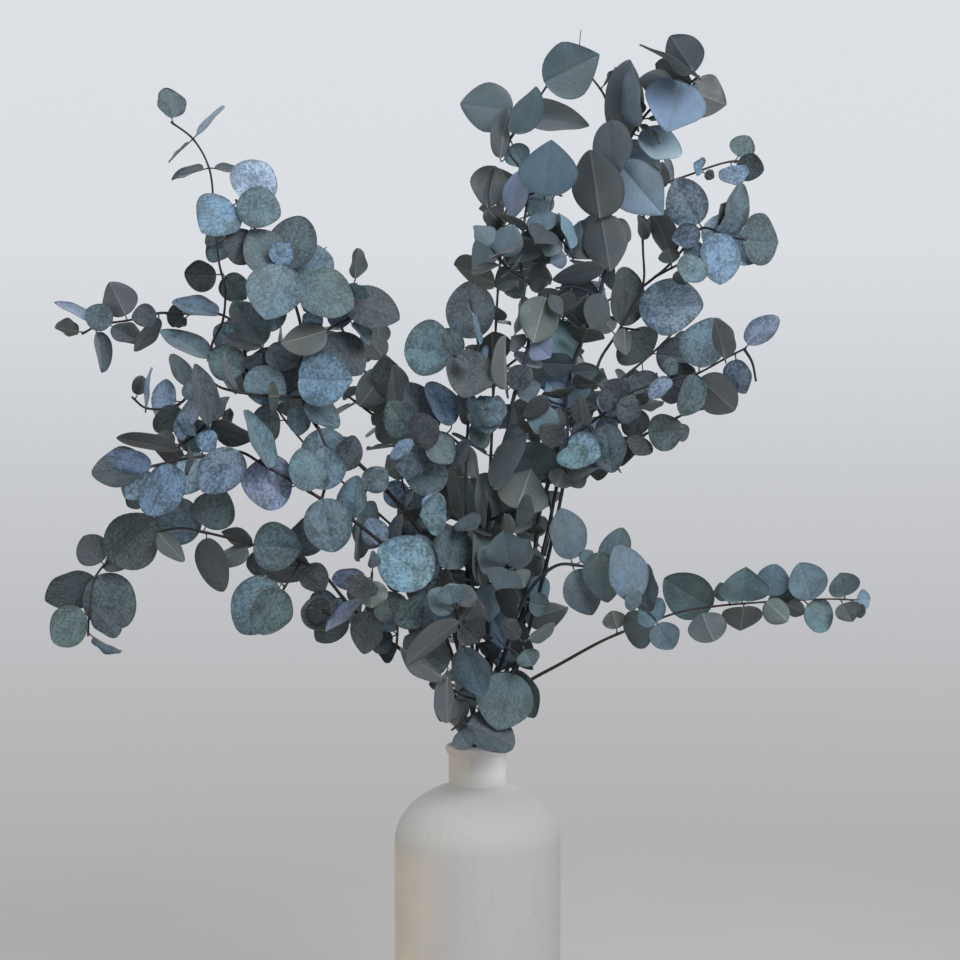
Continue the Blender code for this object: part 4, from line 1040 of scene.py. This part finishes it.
class Sheet:
    """Vertices, faces and what each vertex carries, gathered into one piece."""

    def __init__(self):
        self.verts, self.faces = [], []
        self.carried = {}

    def vertex(self, place, **values):
        """Add a vertex with its carried values and return its number."""
        self.verts.append(place)
        for key, value in values.items():
            self.carried.setdefault(key, []).extend(value)
        return len(self.verts) - 1

    def face(self, *corners):
        """Add a face, leaving out corners that fall together."""
        corners = tuple(dict.fromkeys(corners))
        if len(corners) > 2:
            self.faces.append(corners)

    def make(self, name, mat, node, slot):
        """The piece itself, in place of the part's node."""
        mesh = bpy.data.meshes.new(name)
        mesh.from_pydata(self.verts, [], self.faces)
        for key, values in self.carried.items():
            kind, field = ("FLOAT_COLOR", "color") if key == "tint" else ("FLOAT_VECTOR", "vector")
            mesh.attributes.new(key, kind, "POINT").data.foreach_set(field, values)
        mesh.shade_smooth()
        mesh.set_sharp_from_angle(angle=math.radians(SHARP_DEGREES))
        mesh.materials.append(mat)
        obj = new_object(name, mesh)
        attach(obj, "root")
        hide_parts(node)


def outline(u, sharp):
    """How much narrower a pointed leaf is at u along it than one with a rounded tip."""
    if not WIDEST < u < 1.0:
        return 1.0
    pointed = 1.0 - ((u - WIDEST) / (1.0 - WIDEST)) ** POINTED_POWER
    return 1.0 + sharp * (pointed / half_width(u) - 1.0)


def close_blade(sheet, top, low):
    """The faces of both layers of a blade and of its rim."""
    last = len(top[0]) - 1
    for i in range(ROWS):
        for j in range(last):
            sheet.face(top[i][j], top[i][j + 1], top[i + 1][j + 1], top[i + 1][j])
            sheet.face(low[i][j], low[i + 1][j], low[i + 1][j + 1], low[i][j + 1])
        sheet.face(top[i][last], low[i][last], low[i + 1][last], top[i + 1][last])
        sheet.face(top[i][0], top[i + 1][0], low[i + 1][0], low[i][0])


def add_blade(sheet, leaf, seed, upper, under, speckle, sharpness):
    """A leaf with an upper and a lower face, a rib underneath and a slightly waved rim."""
    draw = random.Random(seed)
    wave, curl = draw.uniform(*WAVES), draw.uniform(*CURLS)
    sharp, tilt = draw.uniform(*sharpness), draw.uniform(-LOPSIDED, LOPSIDED)
    turns = {side: draw.uniform(*WAVE_TURNS) for side in (-1.0, 1.0)}
    phases = {side: draw.uniform(0.0, math.tau) for side in (-1.0, 1.0)}
    key = draw.uniform(0.0, TEXTURE_SHIFT)
    columns = [-v for v in ACROSS[:0:-1]] + list(ACROSS)

    def corner(u, v, face):
        side = math.copysign(1.0, v)
        ripple = math.sin(RAGGED_TURN * u * turns[side] + phases[side])
        edge = (1.0 + RAGGED * ripple + side * tilt) * outline(u, sharp)
        offset = wave * v * v * math.sin(math.tau * turns[side] * u + phases[side])
        offset += curl * v ** 4
        thick = THICK_MIDDLE + (THICK_RIM - THICK_MIDDLE) * v * v
        offset += face * thick / 2
        if v == 0.0:
            offset -= GROOVE if face > 0 else RIB * (1.0 - RIB_FADE * u)
        out = v * half_width(u) * leaf.width / 2
        tint = upper if face > 0 else under
        return sheet.vertex(
            leaf.point(u, v * edge) + leaf.normal * offset, tint=tint,
            leaf_place=(out / leaf.length, u, key),
            leaf_skin=(1.0 if face > 0 else 0.0, abs(v), speckle))

    layers = []
    for face in (1.0, -1.0):
        rows = []
        for i in range(ROWS + 1):
            u = (1.0 - math.cos(math.pi * i / ROWS)) / 2
            if i in (0, ROWS):
                rows.append([corner(u, 0.0, face)] * len(columns))
            else:
                rows.append([corner(u, v, face) for v in columns])
        layers.append(rows)
    close_blade(sheet, *layers)


def add_tube(sheet, line, radii, sides, tint):
    """A round closed tube along a line of points, its ends drawn in to a point."""
    heading = (line[1] - line[0]).normalized()
    normal = heading.orthogonal().normalized()
    rings = []
    for i, (point, radius) in enumerate(zip(line, radii)):
        ahead = (line[min(i + 1, len(line) - 1)] - line[max(i - 1, 0)]).normalized()
        normal = (normal - ahead * normal.dot(ahead)).normalized()
        across = ahead.cross(normal)
        ring = []
        for k in range(sides):
            turn = math.tau * k / sides
            out = normal * math.cos(turn) + across * math.sin(turn)
            ring.append(sheet.vertex(point + out * radius, tint=tint))
        rings.append(ring)
    start = sheet.vertex(line[0] - heading * radii[0] * START_CAP, tint=tint)
    ahead = (line[-1] - line[-2]).normalized()
    end = sheet.vertex(line[-1] + ahead * radii[-1] * END_CAP, tint=tint)
    for a, b in zip(rings, rings[1:]):
        for k in range(sides):
            n = (k + 1) % sides
            sheet.face(a[k], a[n], b[n], b[k])
    for k in range(sides):
        n = (k + 1) % sides
        sheet.face(start, rings[0][n], rings[0][k])
        sheet.face(end, rings[-1][k], rings[-1][n])


class Twigs:
    """The smooth lines of a stem and its side twigs, and the nodes along them."""

    def __init__(self, lines, radii):
        self.lines, self.radii, self.nodes = [], [], []
        for points, (thick, thin) in zip(lines, radii):
            line, places = smooth_line(points, TWIG_SPACING)
            self.lines.append(line)
            last = len(points) - 1
            self.radii.append([MM * (thin + (thick - thin) * (1.0 - min(1.0, p / last)) ** TAPER)
                               for p in places])

    def nearest(self, place):
        """The nearest point of the lines, which becomes a node."""
        best = min(((point - place).length, i, k) for i, line in enumerate(self.lines)
                   for k, point in enumerate(line))
        point = self.lines[best[1]][best[2]]
        self.nodes.append(point)
        return point

    def draw(self, sheet, tint):
        """Add the tubes, swollen at the nodes and a little uneven."""
        for i, (line, radii) in enumerate(zip(self.lines, self.radii)):
            shaped = []
            for point, radius in zip(line, radii):
                swell = sum(math.exp(-((point - node).length / NODE_REACH) ** 2)
                            for node in self.nodes)
                uneven = KNOBBLE * noise.noise(point * KNOBBLE_SCALE)
                shaped.append(radius * THINNER * (1.0 + NODE_SWELL * min(1.0, swell) + uneven))
            add_tube(sheet, line, shaped, TWIG_SIDES if i else TRUNK_SIDES, tint)


def add_petiole(sheet, start, leaf, tint):
    """The short stalk from the twig into the blade."""
    end = leaf.base + leaf.along * INTO_BLADE
    bend = end - leaf.along * ((end - start).length * PETIOLE_BEND)
    line, radii = [], []
    for i in range(PETIOLE_STEPS + 1):
        t = i / PETIOLE_STEPS
        line.append(start * (1 - t) ** 2 + bend * (2 * t * (1 - t)) + end * t * t)
        radii.append(PETIOLE_RADII[0] + (PETIOLE_RADII[1] - PETIOLE_RADII[0]) * t)
    add_tube(sheet, line, radii, PETIOLE_SIDES, tint)


def shoulder(inset, steps):
    """The domed shoulder from the side up to the neck, moved in by the wall's inset."""
    radius, rise = BOTTLE_RADIUS - inset, DOME_RISE - inset
    last = math.acos((NECK_RADIUS - NECK_THINNER * inset) / radius)
    return [(radius * math.cos(last * i / steps),
             SHOULDER_START + rise * math.sin(last * i / steps)) for i in range(steps + 1)]


def bottle_profile(detail):
    """Half of the bottle's section, from the inner floor over the lip to the base."""
    side = BOTTLE_RADIUS - WALL
    inner = [(0.0, FLOOR), (side - WALL, FLOOR), (side, FLOOR + WALL)]
    lip = [(radius, BOTTLE_HEIGHT + drop) for radius, drop in LIP_OUTLINE]
    if detail is FINE_BOTTLE:
        line, _ = smooth_line([Vector((x, 0.0, z)) for x, z in lip], LIP_STEP)
        lip = [(point.x, point.z) for point in line]
    base = []
    for i in range(detail["base"] + 1):
        turn = math.pi / 2 * i / detail["base"]
        base.append((BOTTLE_RADIUS - BASE_ROUNDING * (1.0 - math.cos(turn)),
                     BASE_ROUNDING * (1.0 - math.sin(turn))))
    return (inner + shoulder(WALL, detail["inner"]) + lip
            + shoulder(0.0, detail["outer"])[::-1] + base + [(0.0, 0.0)])


def turned_bottle(detail):
    """The bottle's mesh, turned from its profile."""
    mesh = bpy.data.meshes.new("turned")
    points = [(x, 0.0, z) for x, z in bottle_profile(detail)]
    mesh.from_pydata(points, [(i, i + 1) for i in range(len(points) - 1)], [])
    holder = new_object("turned", mesh)
    screw = holder.modifiers.new("turn", "SCREW")
    screw.steps = detail["steps"]
    screw.render_steps = detail["steps"]
    screw.use_merge_vertices = True
    screw.merge_threshold = MERGE
    screw.use_smooth_shade = True
    turned = evaluated_mesh(holder)
    bpy.data.objects.remove(holder)
    bpy.data.meshes.remove(mesh)
    return turned


def build_bottle():
    """The finer bottle, slightly dented as hand-made plaster is, its base left flat."""
    mesh = turned_bottle(FINE_BOTTLE)
    for vert in mesh.vertices:
        place = vert.co.copy()
        out = Vector((place.x, place.y, 0.0))
        if out.length < MM:
            continue
        dent = DENT * noise.noise(place * DENT_SCALE)
        dent += DENT * SMALL_DENT * noise.noise(place * DENT_SCALE * SMALL_DENT_SCALE)
        if place.z > BOTTLE_HEIGHT - LIP_HEIGHT:
            dent += RIM_CHIP * noise.noise(place * RIM_CHIP_SCALE)
            vert.co.z += RIM_CHIP * noise.noise(place * RIM_CHIP_SCALE + RIM_CHIP_SHIFT)
        vert.co += out.normalized() * dent
    mesh.materials.append(bottle_material())
    bottle = new_object("bottle_body", mesh)
    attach(bottle, "root")
    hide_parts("bottle")


class Shader:
    """A material's node tree, built with short calls."""

    def __init__(self, owner):
        owner.use_nodes = True
        self.tree = owner.node_tree

    def node(self, kind, links=None, **settings):
        """A node with its settings, and its inputs as values or linked sockets."""
        made = self.tree.nodes.new("ShaderNode" + kind)
        for key, value in settings.items():
            setattr(made, key, value)
        for socket, source in (links or {}).items():
            if isinstance(source, bpy.types.NodeSocket):
                self.tree.links.new(source, made.inputs[socket])
            else:
                made.inputs[socket].default_value = source
        return made

    def maths(self, operation, a, b=0.0):
        return self.node("Math", {0: a, 1: b}, operation=operation).outputs[0]

    def times(self, a, b):
        return self.maths("MULTIPLY", a, b)

    def plus(self, a, b):
        return self.maths("ADD", a, b)

    def minus(self, a, b):
        return self.maths("SUBTRACT", a, b)

    def blended(self, a, b, shares):
        """Two values added by their shares."""
        return self.plus(self.times(a, shares[0]), self.times(b, shares[1]))

    def mix(self, factor, a, b, blend="MIX"):
        """The colour a, with b over it as far as the factor says."""
        made = self.node("Mix", {0: factor, 6: a, 7: b}, data_type="RGBA", blend_type=blend)
        return made.outputs[2]

    def tinted(self, colour, tint, strength=1.0):
        """The colour multiplied by a tint."""
        return self.mix(strength, colour, tint, "MULTIPLY")

    def ramp(self, value, low, high, start=0.0, end=1.0):
        """The value, where low to high becomes start to end with soft ends."""
        made = self.node("MapRange", {0: value, 1: low, 2: high, 3: start, 4: end},
                         interpolation_type="SMOOTHSTEP")
        return made.outputs[0]

    def grain(self, place, scale, detail, roughness):
        """Noise at the place."""
        links = {"Vector": place, "Scale": scale, "Detail": detail, "Roughness": roughness}
        return self.node("TexNoise", links).outputs["Fac"]

    def axes(self, vector):
        """The three parts of a vector."""
        return self.node("SeparateXYZ", {0: vector}).outputs

    def carried(self, name, output="Vector"):
        """What each vertex carries under the name."""
        return self.node("Attribute", attribute_name=name).outputs[output]

    def object_place(self):
        return self.node("TexCoord").outputs["Object"]


def finish_material(shader, colour, roughness, height, depth, **sockets):
    """Set the surface shader: its colour, roughness, fine relief and even values."""
    surface = shader.tree.nodes["Principled BSDF"]
    bump = shader.node("Bump", {"Height": height, "Distance": depth, "Strength": 1.0})
    shader.tree.links.new(colour, surface.inputs["Base Color"])
    shader.tree.links.new(roughness, surface.inputs["Roughness"])
    shader.tree.links.new(bump.outputs[0], surface.inputs["Normal"])
    for name, value in sockets.items():
        surface.inputs[name.replace("_", " ")].default_value = value


def leaf_material():
    """A powdery bloom, rubbed and speckled above, smooth and paler-veined beneath."""
    mat = bpy.data.materials.new("leaf_bloom")
    shader = Shader(mat)
    tint = shader.carried("tint", "Color")
    across, along, key = shader.axes(shader.carried("leaf_place"))
    upper, outward, speckled = shader.axes(shader.carried("leaf_skin"))
    shift = shader.node("CombineXYZ", {0: key, 1: key}).outputs[0]
    where = shader.node("VectorMath", {0: shader.object_place(), 1: shift}).outputs[0]
    broad = shader.grain(where, *LEAF_CLOUDS)
    fine = shader.grain(where, *LEAF_GRAIN)
    out = shader.maths("ABSOLUTE", across)
    midrib, side_vein, veins = leaf_veins(shader, where, out, along, broad)

    # The upper face: powder where the bloom covers it, darker where it is rubbed off
    rubbed = shader.tinted(tint, RUBBED)
    powder = shader.tinted(tint, POWDER)
    cloud = shader.blended(broad, fine, BLOOM_SHARES)
    cover = shader.ramp(shader.minus(cloud, shader.ramp(outward, *WORN_RIM)), *BLOOM)
    specks = shader.ramp(shader.grain(where, *LEAF_DUST), *DUST_SPECKS)
    patchy = shader.mix(specks, shader.mix(cover, rubbed, powder), display(*PALE_DUST))
    even = shader.mix(shader.ramp(broad, *EVEN_BLOOM), tint, powder)
    plain_depth, speckled_depth = VEIN_DEPTHS
    depth = shader.plus(plain_depth, shader.times(speckled, speckled_depth))
    above = shader.mix(speckled, even, patchy)
    above = shader.mix(shader.times(veins, depth), above, rubbed)

    # The underside: nearly even, with paler veins
    beneath = shader.mix(shader.ramp(broad, *RUBBED_BELOW), tint, rubbed)
    beneath = shader.mix(shader.times(side_vein, PALE_VEIN), beneath, powder)
    beneath = shader.mix(shader.times(midrib, PALE_RIB), beneath, display(*RIB_COLOUR))

    colour = shader.mix(upper, beneath, above)
    patch = shader.ramp(shader.grain(where, *LEAF_CASTS), *CAST)
    colour = shader.tinted(colour, shader.mix(patch, WARM_CAST, COOL_CAST), CAST_STRENGTH)
    colour = shader.mix(shader.ramp(outward, *RIM_BAND), colour, display(*RIM_COLOUR))
    raised, sunk = LEAF_HEIGHTS
    height = shader.minus(shader.times(fine, raised), shader.times(veins, sunk))
    finish_material(shader, colour, shader.ramp(cover, *LEAF_ROUGHNESS), height, LEAF_RELIEF,
                    Sheen_Weight=LEAF_SHEEN, Sheen_Roughness=SHEEN_ROUGHNESS)
    return mat


def leaf_veins(shader, where, out, along, broad):
    """The rib, the side veins that run out from it and forward, and all with the net."""
    bent = shader.times(out, shader.plus(VEIN_BEND, out))
    wander = shader.times(shader.minus(broad, 0.5), VEIN_WANDER)
    rank = shader.plus(shader.minus(along, bent), wander)
    beat = shader.maths("FRACT", shader.times(rank, VEIN_PAIRS))
    side_vein = shader.ramp(shader.maths("ABSOLUTE", shader.minus(beat, 0.5)), *SIDE_VEIN)
    net = shader.node("TexVoronoi", {"Vector": where, "Scale": NET_SCALE},
                      feature="DISTANCE_TO_EDGE").outputs["Distance"]
    net_vein = shader.ramp(net, *NET_VEIN)
    midrib = shader.ramp(out, *MIDRIB)
    veins = shader.maths("MAXIMUM", midrib, shader.maths("MAXIMUM", side_vein, net_vein))
    return midrib, side_vein, veins


def bark_material():
    """Dry bark, streaked along the twig by its own tint."""
    mat = bpy.data.materials.new("twig_bark")
    shader = Shader(mat)
    tint = shader.carried("tint", "Color")
    where = shader.object_place()
    drawn_out = shader.node("Mapping", {0: where, 3: BARK_STRETCH}).outputs[0]
    streak = shader.grain(drawn_out, *BARK_STREAKS)
    patch = shader.grain(where, *BARK_PATCHES)
    pale = shader.times(shader.ramp(streak, *PALE_BARK), shader.ramp(patch, *PALE_BARK_PATCHES))
    colour = shader.mix(pale, tint, shader.tinted(tint, BARK_STREAK))
    finish_material(shader, colour, shader.ramp(streak, *BARK_ROUGHNESS), streak, BARK_RELIEF,
                    Specular_IOR_Level=BARK_GLOSS)
    return mat


def bottle_material():
    """Chalky off-white paint with faint brush marks, with painted light: a warm glow low on the
    bottle's left, light over the shaded left of its shoulder and a lit neck, warmer on its left.
    """
    mat = bpy.data.materials.new("chalky_paint")
    shader = Shader(mat)
    where = shader.object_place()
    across, _, up = shader.axes(where)
    tall = shader.node("Mapping", {0: where, 2: BRUSH_LEAN, 3: BRUSH_STRETCH}).outputs[0]
    brush = shader.grain(tall, *BRUSH_MARKS)
    cloud = shader.grain(where, *PAINT_CLOUDS)
    # Painted light: a warm glow of bounced light low on the left, brighter where that side lies in
    # shade
    warm = shader.times(shader.ramp(across, *WARM_SIDE), shader.ramp(up, *WARM_BELOW))
    # Painted light over the left of the shoulder, where the leaves' shade falls
    pale = shader.times(shader.ramp(across, *PALE_SIDE), shader.ramp(up, *PALE_ABOVE))
    # Painted light on the neck against the leaves' shade, warmer on its left
    neck = shader.mix(shader.ramp(across, *NECK_SIDE), display(*NECK_PAINTED_LIGHT),
                      display(*NECK_LEFT_PAINTED_LIGHT))
    layers = ((warm, display(*PAINTED_WARM_LIGHT)),
              (shader.ramp(cloud, *COOL_CLOUDS), display(*COOL_PAINT)),
              (pale, display(*PAINTED_LIGHT_ON_SHOULDER)),
              (shader.ramp(up, *NECK_ABOVE), neck),
              (shader.ramp(brush, *SCRATCHES), display(*SCRATCH_PAINT)),
              (shader.ramp(shader.grain(where, *PAINT_PITS), *PITS), display(*MARK_PAINT)))
    colour = display(*PAINT)
    for cover, paint in layers:
        colour = shader.mix(cover, colour, paint)
    height = shader.blended(brush, shader.grain(where, *PAINT_GRIT), PAINT_HEIGHTS)
    finish_material(shader, colour, shader.ramp(cloud, *PAINT_ROUGHNESS), height, PAINT_RELIEF,
                    Specular_IOR_Level=PAINT_GLOSS)
    return mat


def leaf_tints(tone, draw):
    """The colours of a leaf's upper and lower face."""
    def varied(values):
        factor = BRIGHTEN * (1.0 + draw.uniform(-TONE_SPREAD, TONE_SPREAD))
        colour = display(*(value * (1.0 + draw.uniform(-HUE_SPREAD, HUE_SPREAD))
                           for value in values))
        return (*(factor * value for value in colour[:3]), 1.0)
    # Tone D takes the dark underside, partly painted shade
    return varied(TONES[tone]), varied(DARK_UNDERSIDE if tone == "D" else UNDERSIDE)


def grow(name, leaves, twigs, materials):
    """The fine leaves and twigs of one stem, in place of its solid."""
    speckle = SPECKLE.get(name, 1.0)
    sharpness = SHARP_STEMS.get(name, SHARPNESS)
    bark = display(*(BLUE_BARK if name in BLUE_STEMS else BROWN_BARK))
    petiole = display(*PETIOLE)
    foliage, wood = Sheet(), Sheet()
    for number, leaf, tone in leaves:
        upper, under = leaf_tints(tone, random.Random(TINT_SEED + number))
        add_blade(foliage, leaf, number, upper, under, speckle, sharpness)
        add_petiole(wood, twigs.nearest(leaf.root), leaf, petiole)
    twigs.draw(wood, bark)
    foliage.make(name + "_leaves", materials["leaf"], name, "leaf")
    wood.make(name + "_twigs", materials["bark"], name, "bark")


def lay_twigs(crowd):
    """The routes and smooth twigs of every stem, its rough solid added to the crowd."""
    runs, twigs = {}, {}
    for name, stem in (STEMS | BACK_STEMS).items():
        if name in STEMS:
            runs[name] = stem_runs(stem)
            lines = [[from_photo(*spot) for spot in run] for run in runs[name]]
        else:
            runs[name] = lines = back_runs(stem)
        lines = [in_neck(stem) + lines[0]] + lines[1:]
        radii = [stem.get("radii", BACK_RADII)] + [TWIG_RADII] * len(stem["twigs"])
        for i, (points, ends) in enumerate(zip(lines, radii)):
            crowd.add_solid(name, rough_tube(points, ends, 0 if i else 1))
        for end, route in BARE_TWIGS.get(name, []):
            bare = side_run(runs[name], end, route)
            lines.append([from_photo(*spot) for spot in bare])
            radii.append(BARE_RADII)
        twigs[name] = Twigs(lines, radii)
    return runs, twigs


def place_leaves(crowd, runs, twigs):
    """Every leaf that stands clear, by stem: those of the part, then the small ones."""
    placed = {name: [] for name in runs}
    numbers = itertools.count(1)

    def plant(name, tones, number, choices):
        for leaf in choices:
            if crowd.take(name, leaf):
                placed[name].append((number, leaf, tones[number % len(tones)]))
                break

    def plant_rows(name, rows):
        for row in rows:
            number = next(numbers)
            plant(name, row[-1], number,
                  (seen_leaf(row, runs[name], number, **change) for change in tries()))

    for name, stem in STEMS.items():
        plant_rows(name, stem["leaves"])
    for name, stem in BACK_STEMS.items():
        for leaf in back_leaves(runs[name], stem["seed"]):
            plant(name, BACK_TONES, next(numbers), [leaf])
    for name, rows in SMALL_LEAVES.items():
        plant_rows(name, rows)
    for name, stem in BACK_STEMS.items():
        for leaf in filler_leaves(twigs[name].lines, stem["seed"], FILLER_START, FILLER_SPACING):
            plant(name, FILLER_TONES, next(numbers), [leaf])
    # Small leaves in the dense parts, real leaves whose dark tones are painted shade
    for seed, name in enumerate(STEMS):
        for leaf in filler_leaves(twigs[name].lines, seed, DENSE_START, DENSE_SPACING):
            plant(name, DENSE_SHADE_TONES, next(numbers), [leaf] if in_dense_part(leaf) else [])
    return placed


def grow_all():
    """Lay out the twigs and leaves as the part's source does, and draw them finer."""
    crowd = Crowd()
    crowd.add_solid("bottle", turned_bottle(ROUGH_BOTTLE))
    runs, twigs = lay_twigs(crowd)
    placed = place_leaves(crowd, runs, twigs)
    materials = {"leaf": leaf_material(), "bark": bark_material()}
    for name, leaves in placed.items():
        grow(name, leaves, twigs[name], materials)


def build_floor():
    """A pale floor that fades out into the room."""
    mesh = bpy.data.meshes.new("floor")
    ring = [(FLOOR_RADIUS * math.cos(math.tau * i / FLOOR_SIDES),
             FLOOR_RADIUS * math.sin(math.tau * i / FLOOR_SIDES), -FLOOR_DROP)
            for i in range(FLOOR_SIDES)]
    mesh.from_pydata(ring, [], [tuple(range(FLOOR_SIDES))])
    mat = bpy.data.materials.new("pale_floor")
    shader = Shader(mat)
    where = shader.object_place()
    away = shader.node("VectorMath", {0: where}, operation="LENGTH").outputs["Value"]
    mottle = shader.grain(where, *FLOOR_CLOUDS)
    surface = shader.tree.nodes["Principled BSDF"]
    shader.tree.links.new(shader.mix(mottle, display(*FLOOR_LIGHT), display(*FLOOR_DARK)),
                          surface.inputs["Base Color"])
    surface.inputs["Roughness"].default_value = FLOOR_ROUGHNESS
    clear = shader.node("BsdfTransparent").outputs[0]
    faded = shader.node("MixShader", {0: shader.ramp(away, FADE_START, FADE_END),
                                      1: surface.outputs[0], 2: clear})
    shader.tree.links.new(faded.outputs[0],
                          shader.tree.nodes["Material Output"].inputs["Surface"])
    mesh.materials.append(mat)
    new_object("floor", mesh)


def build_light():
    """A pale room, cool above and warm below, and large soft lamps."""
    world = bpy.data.worlds.new("room")
    bpy.context.scene.world = world
    shader = Shader(world)
    heading = shader.node("TexCoord").outputs["Generated"]
    height = shader.node("MapRange", {0: shader.axes(heading)[2], 1: -1.0, 2: 1.0})
    ramp = shader.node("ValToRGB", {0: height.outputs[0]})
    stops = ramp.color_ramp.elements
    while len(stops) < len(ROOM):
        stops.new(1.0)
    for stop, (place, colour) in zip(stops, ROOM):
        stop.position = place
        stop.color = display(*colour)
    background = shader.tree.nodes["Background"]
    shader.tree.links.new(ramp.outputs[0], background.inputs[0])
    background.inputs[1].default_value = ROOM_STRENGTH
    for name, (place, size, power, colour) in LAMPS.items():
        lamp = bpy.data.lights.new(name, "AREA")
        lamp.size = size
        lamp.energy = power
        lamp.color = colour
        obj = new_object(name, lamp)
        obj.location = place
        obj.rotation_euler = (LAMP_AIM - obj.location).to_track_quat("-Z", "Y").to_euler()


def build_camera():
    """A level camera where the photograph was taken from."""
    camera = bpy.data.cameras.new("camera")
    camera.lens = LENS
    camera.sensor_width = SENSOR
    obj = new_object("camera", camera)
    obj.location = (CAMERA_X, -VIEW_DISTANCE, CAMERA_Z)
    obj.rotation_euler = (math.pi / 2, 0.0, 0.0)
    bpy.context.scene.camera = obj


build_bottle()
grow_all()
build_floor()
build_light()
build_camera()
bpy.context.scene.view_settings.view_transform = "Standard"
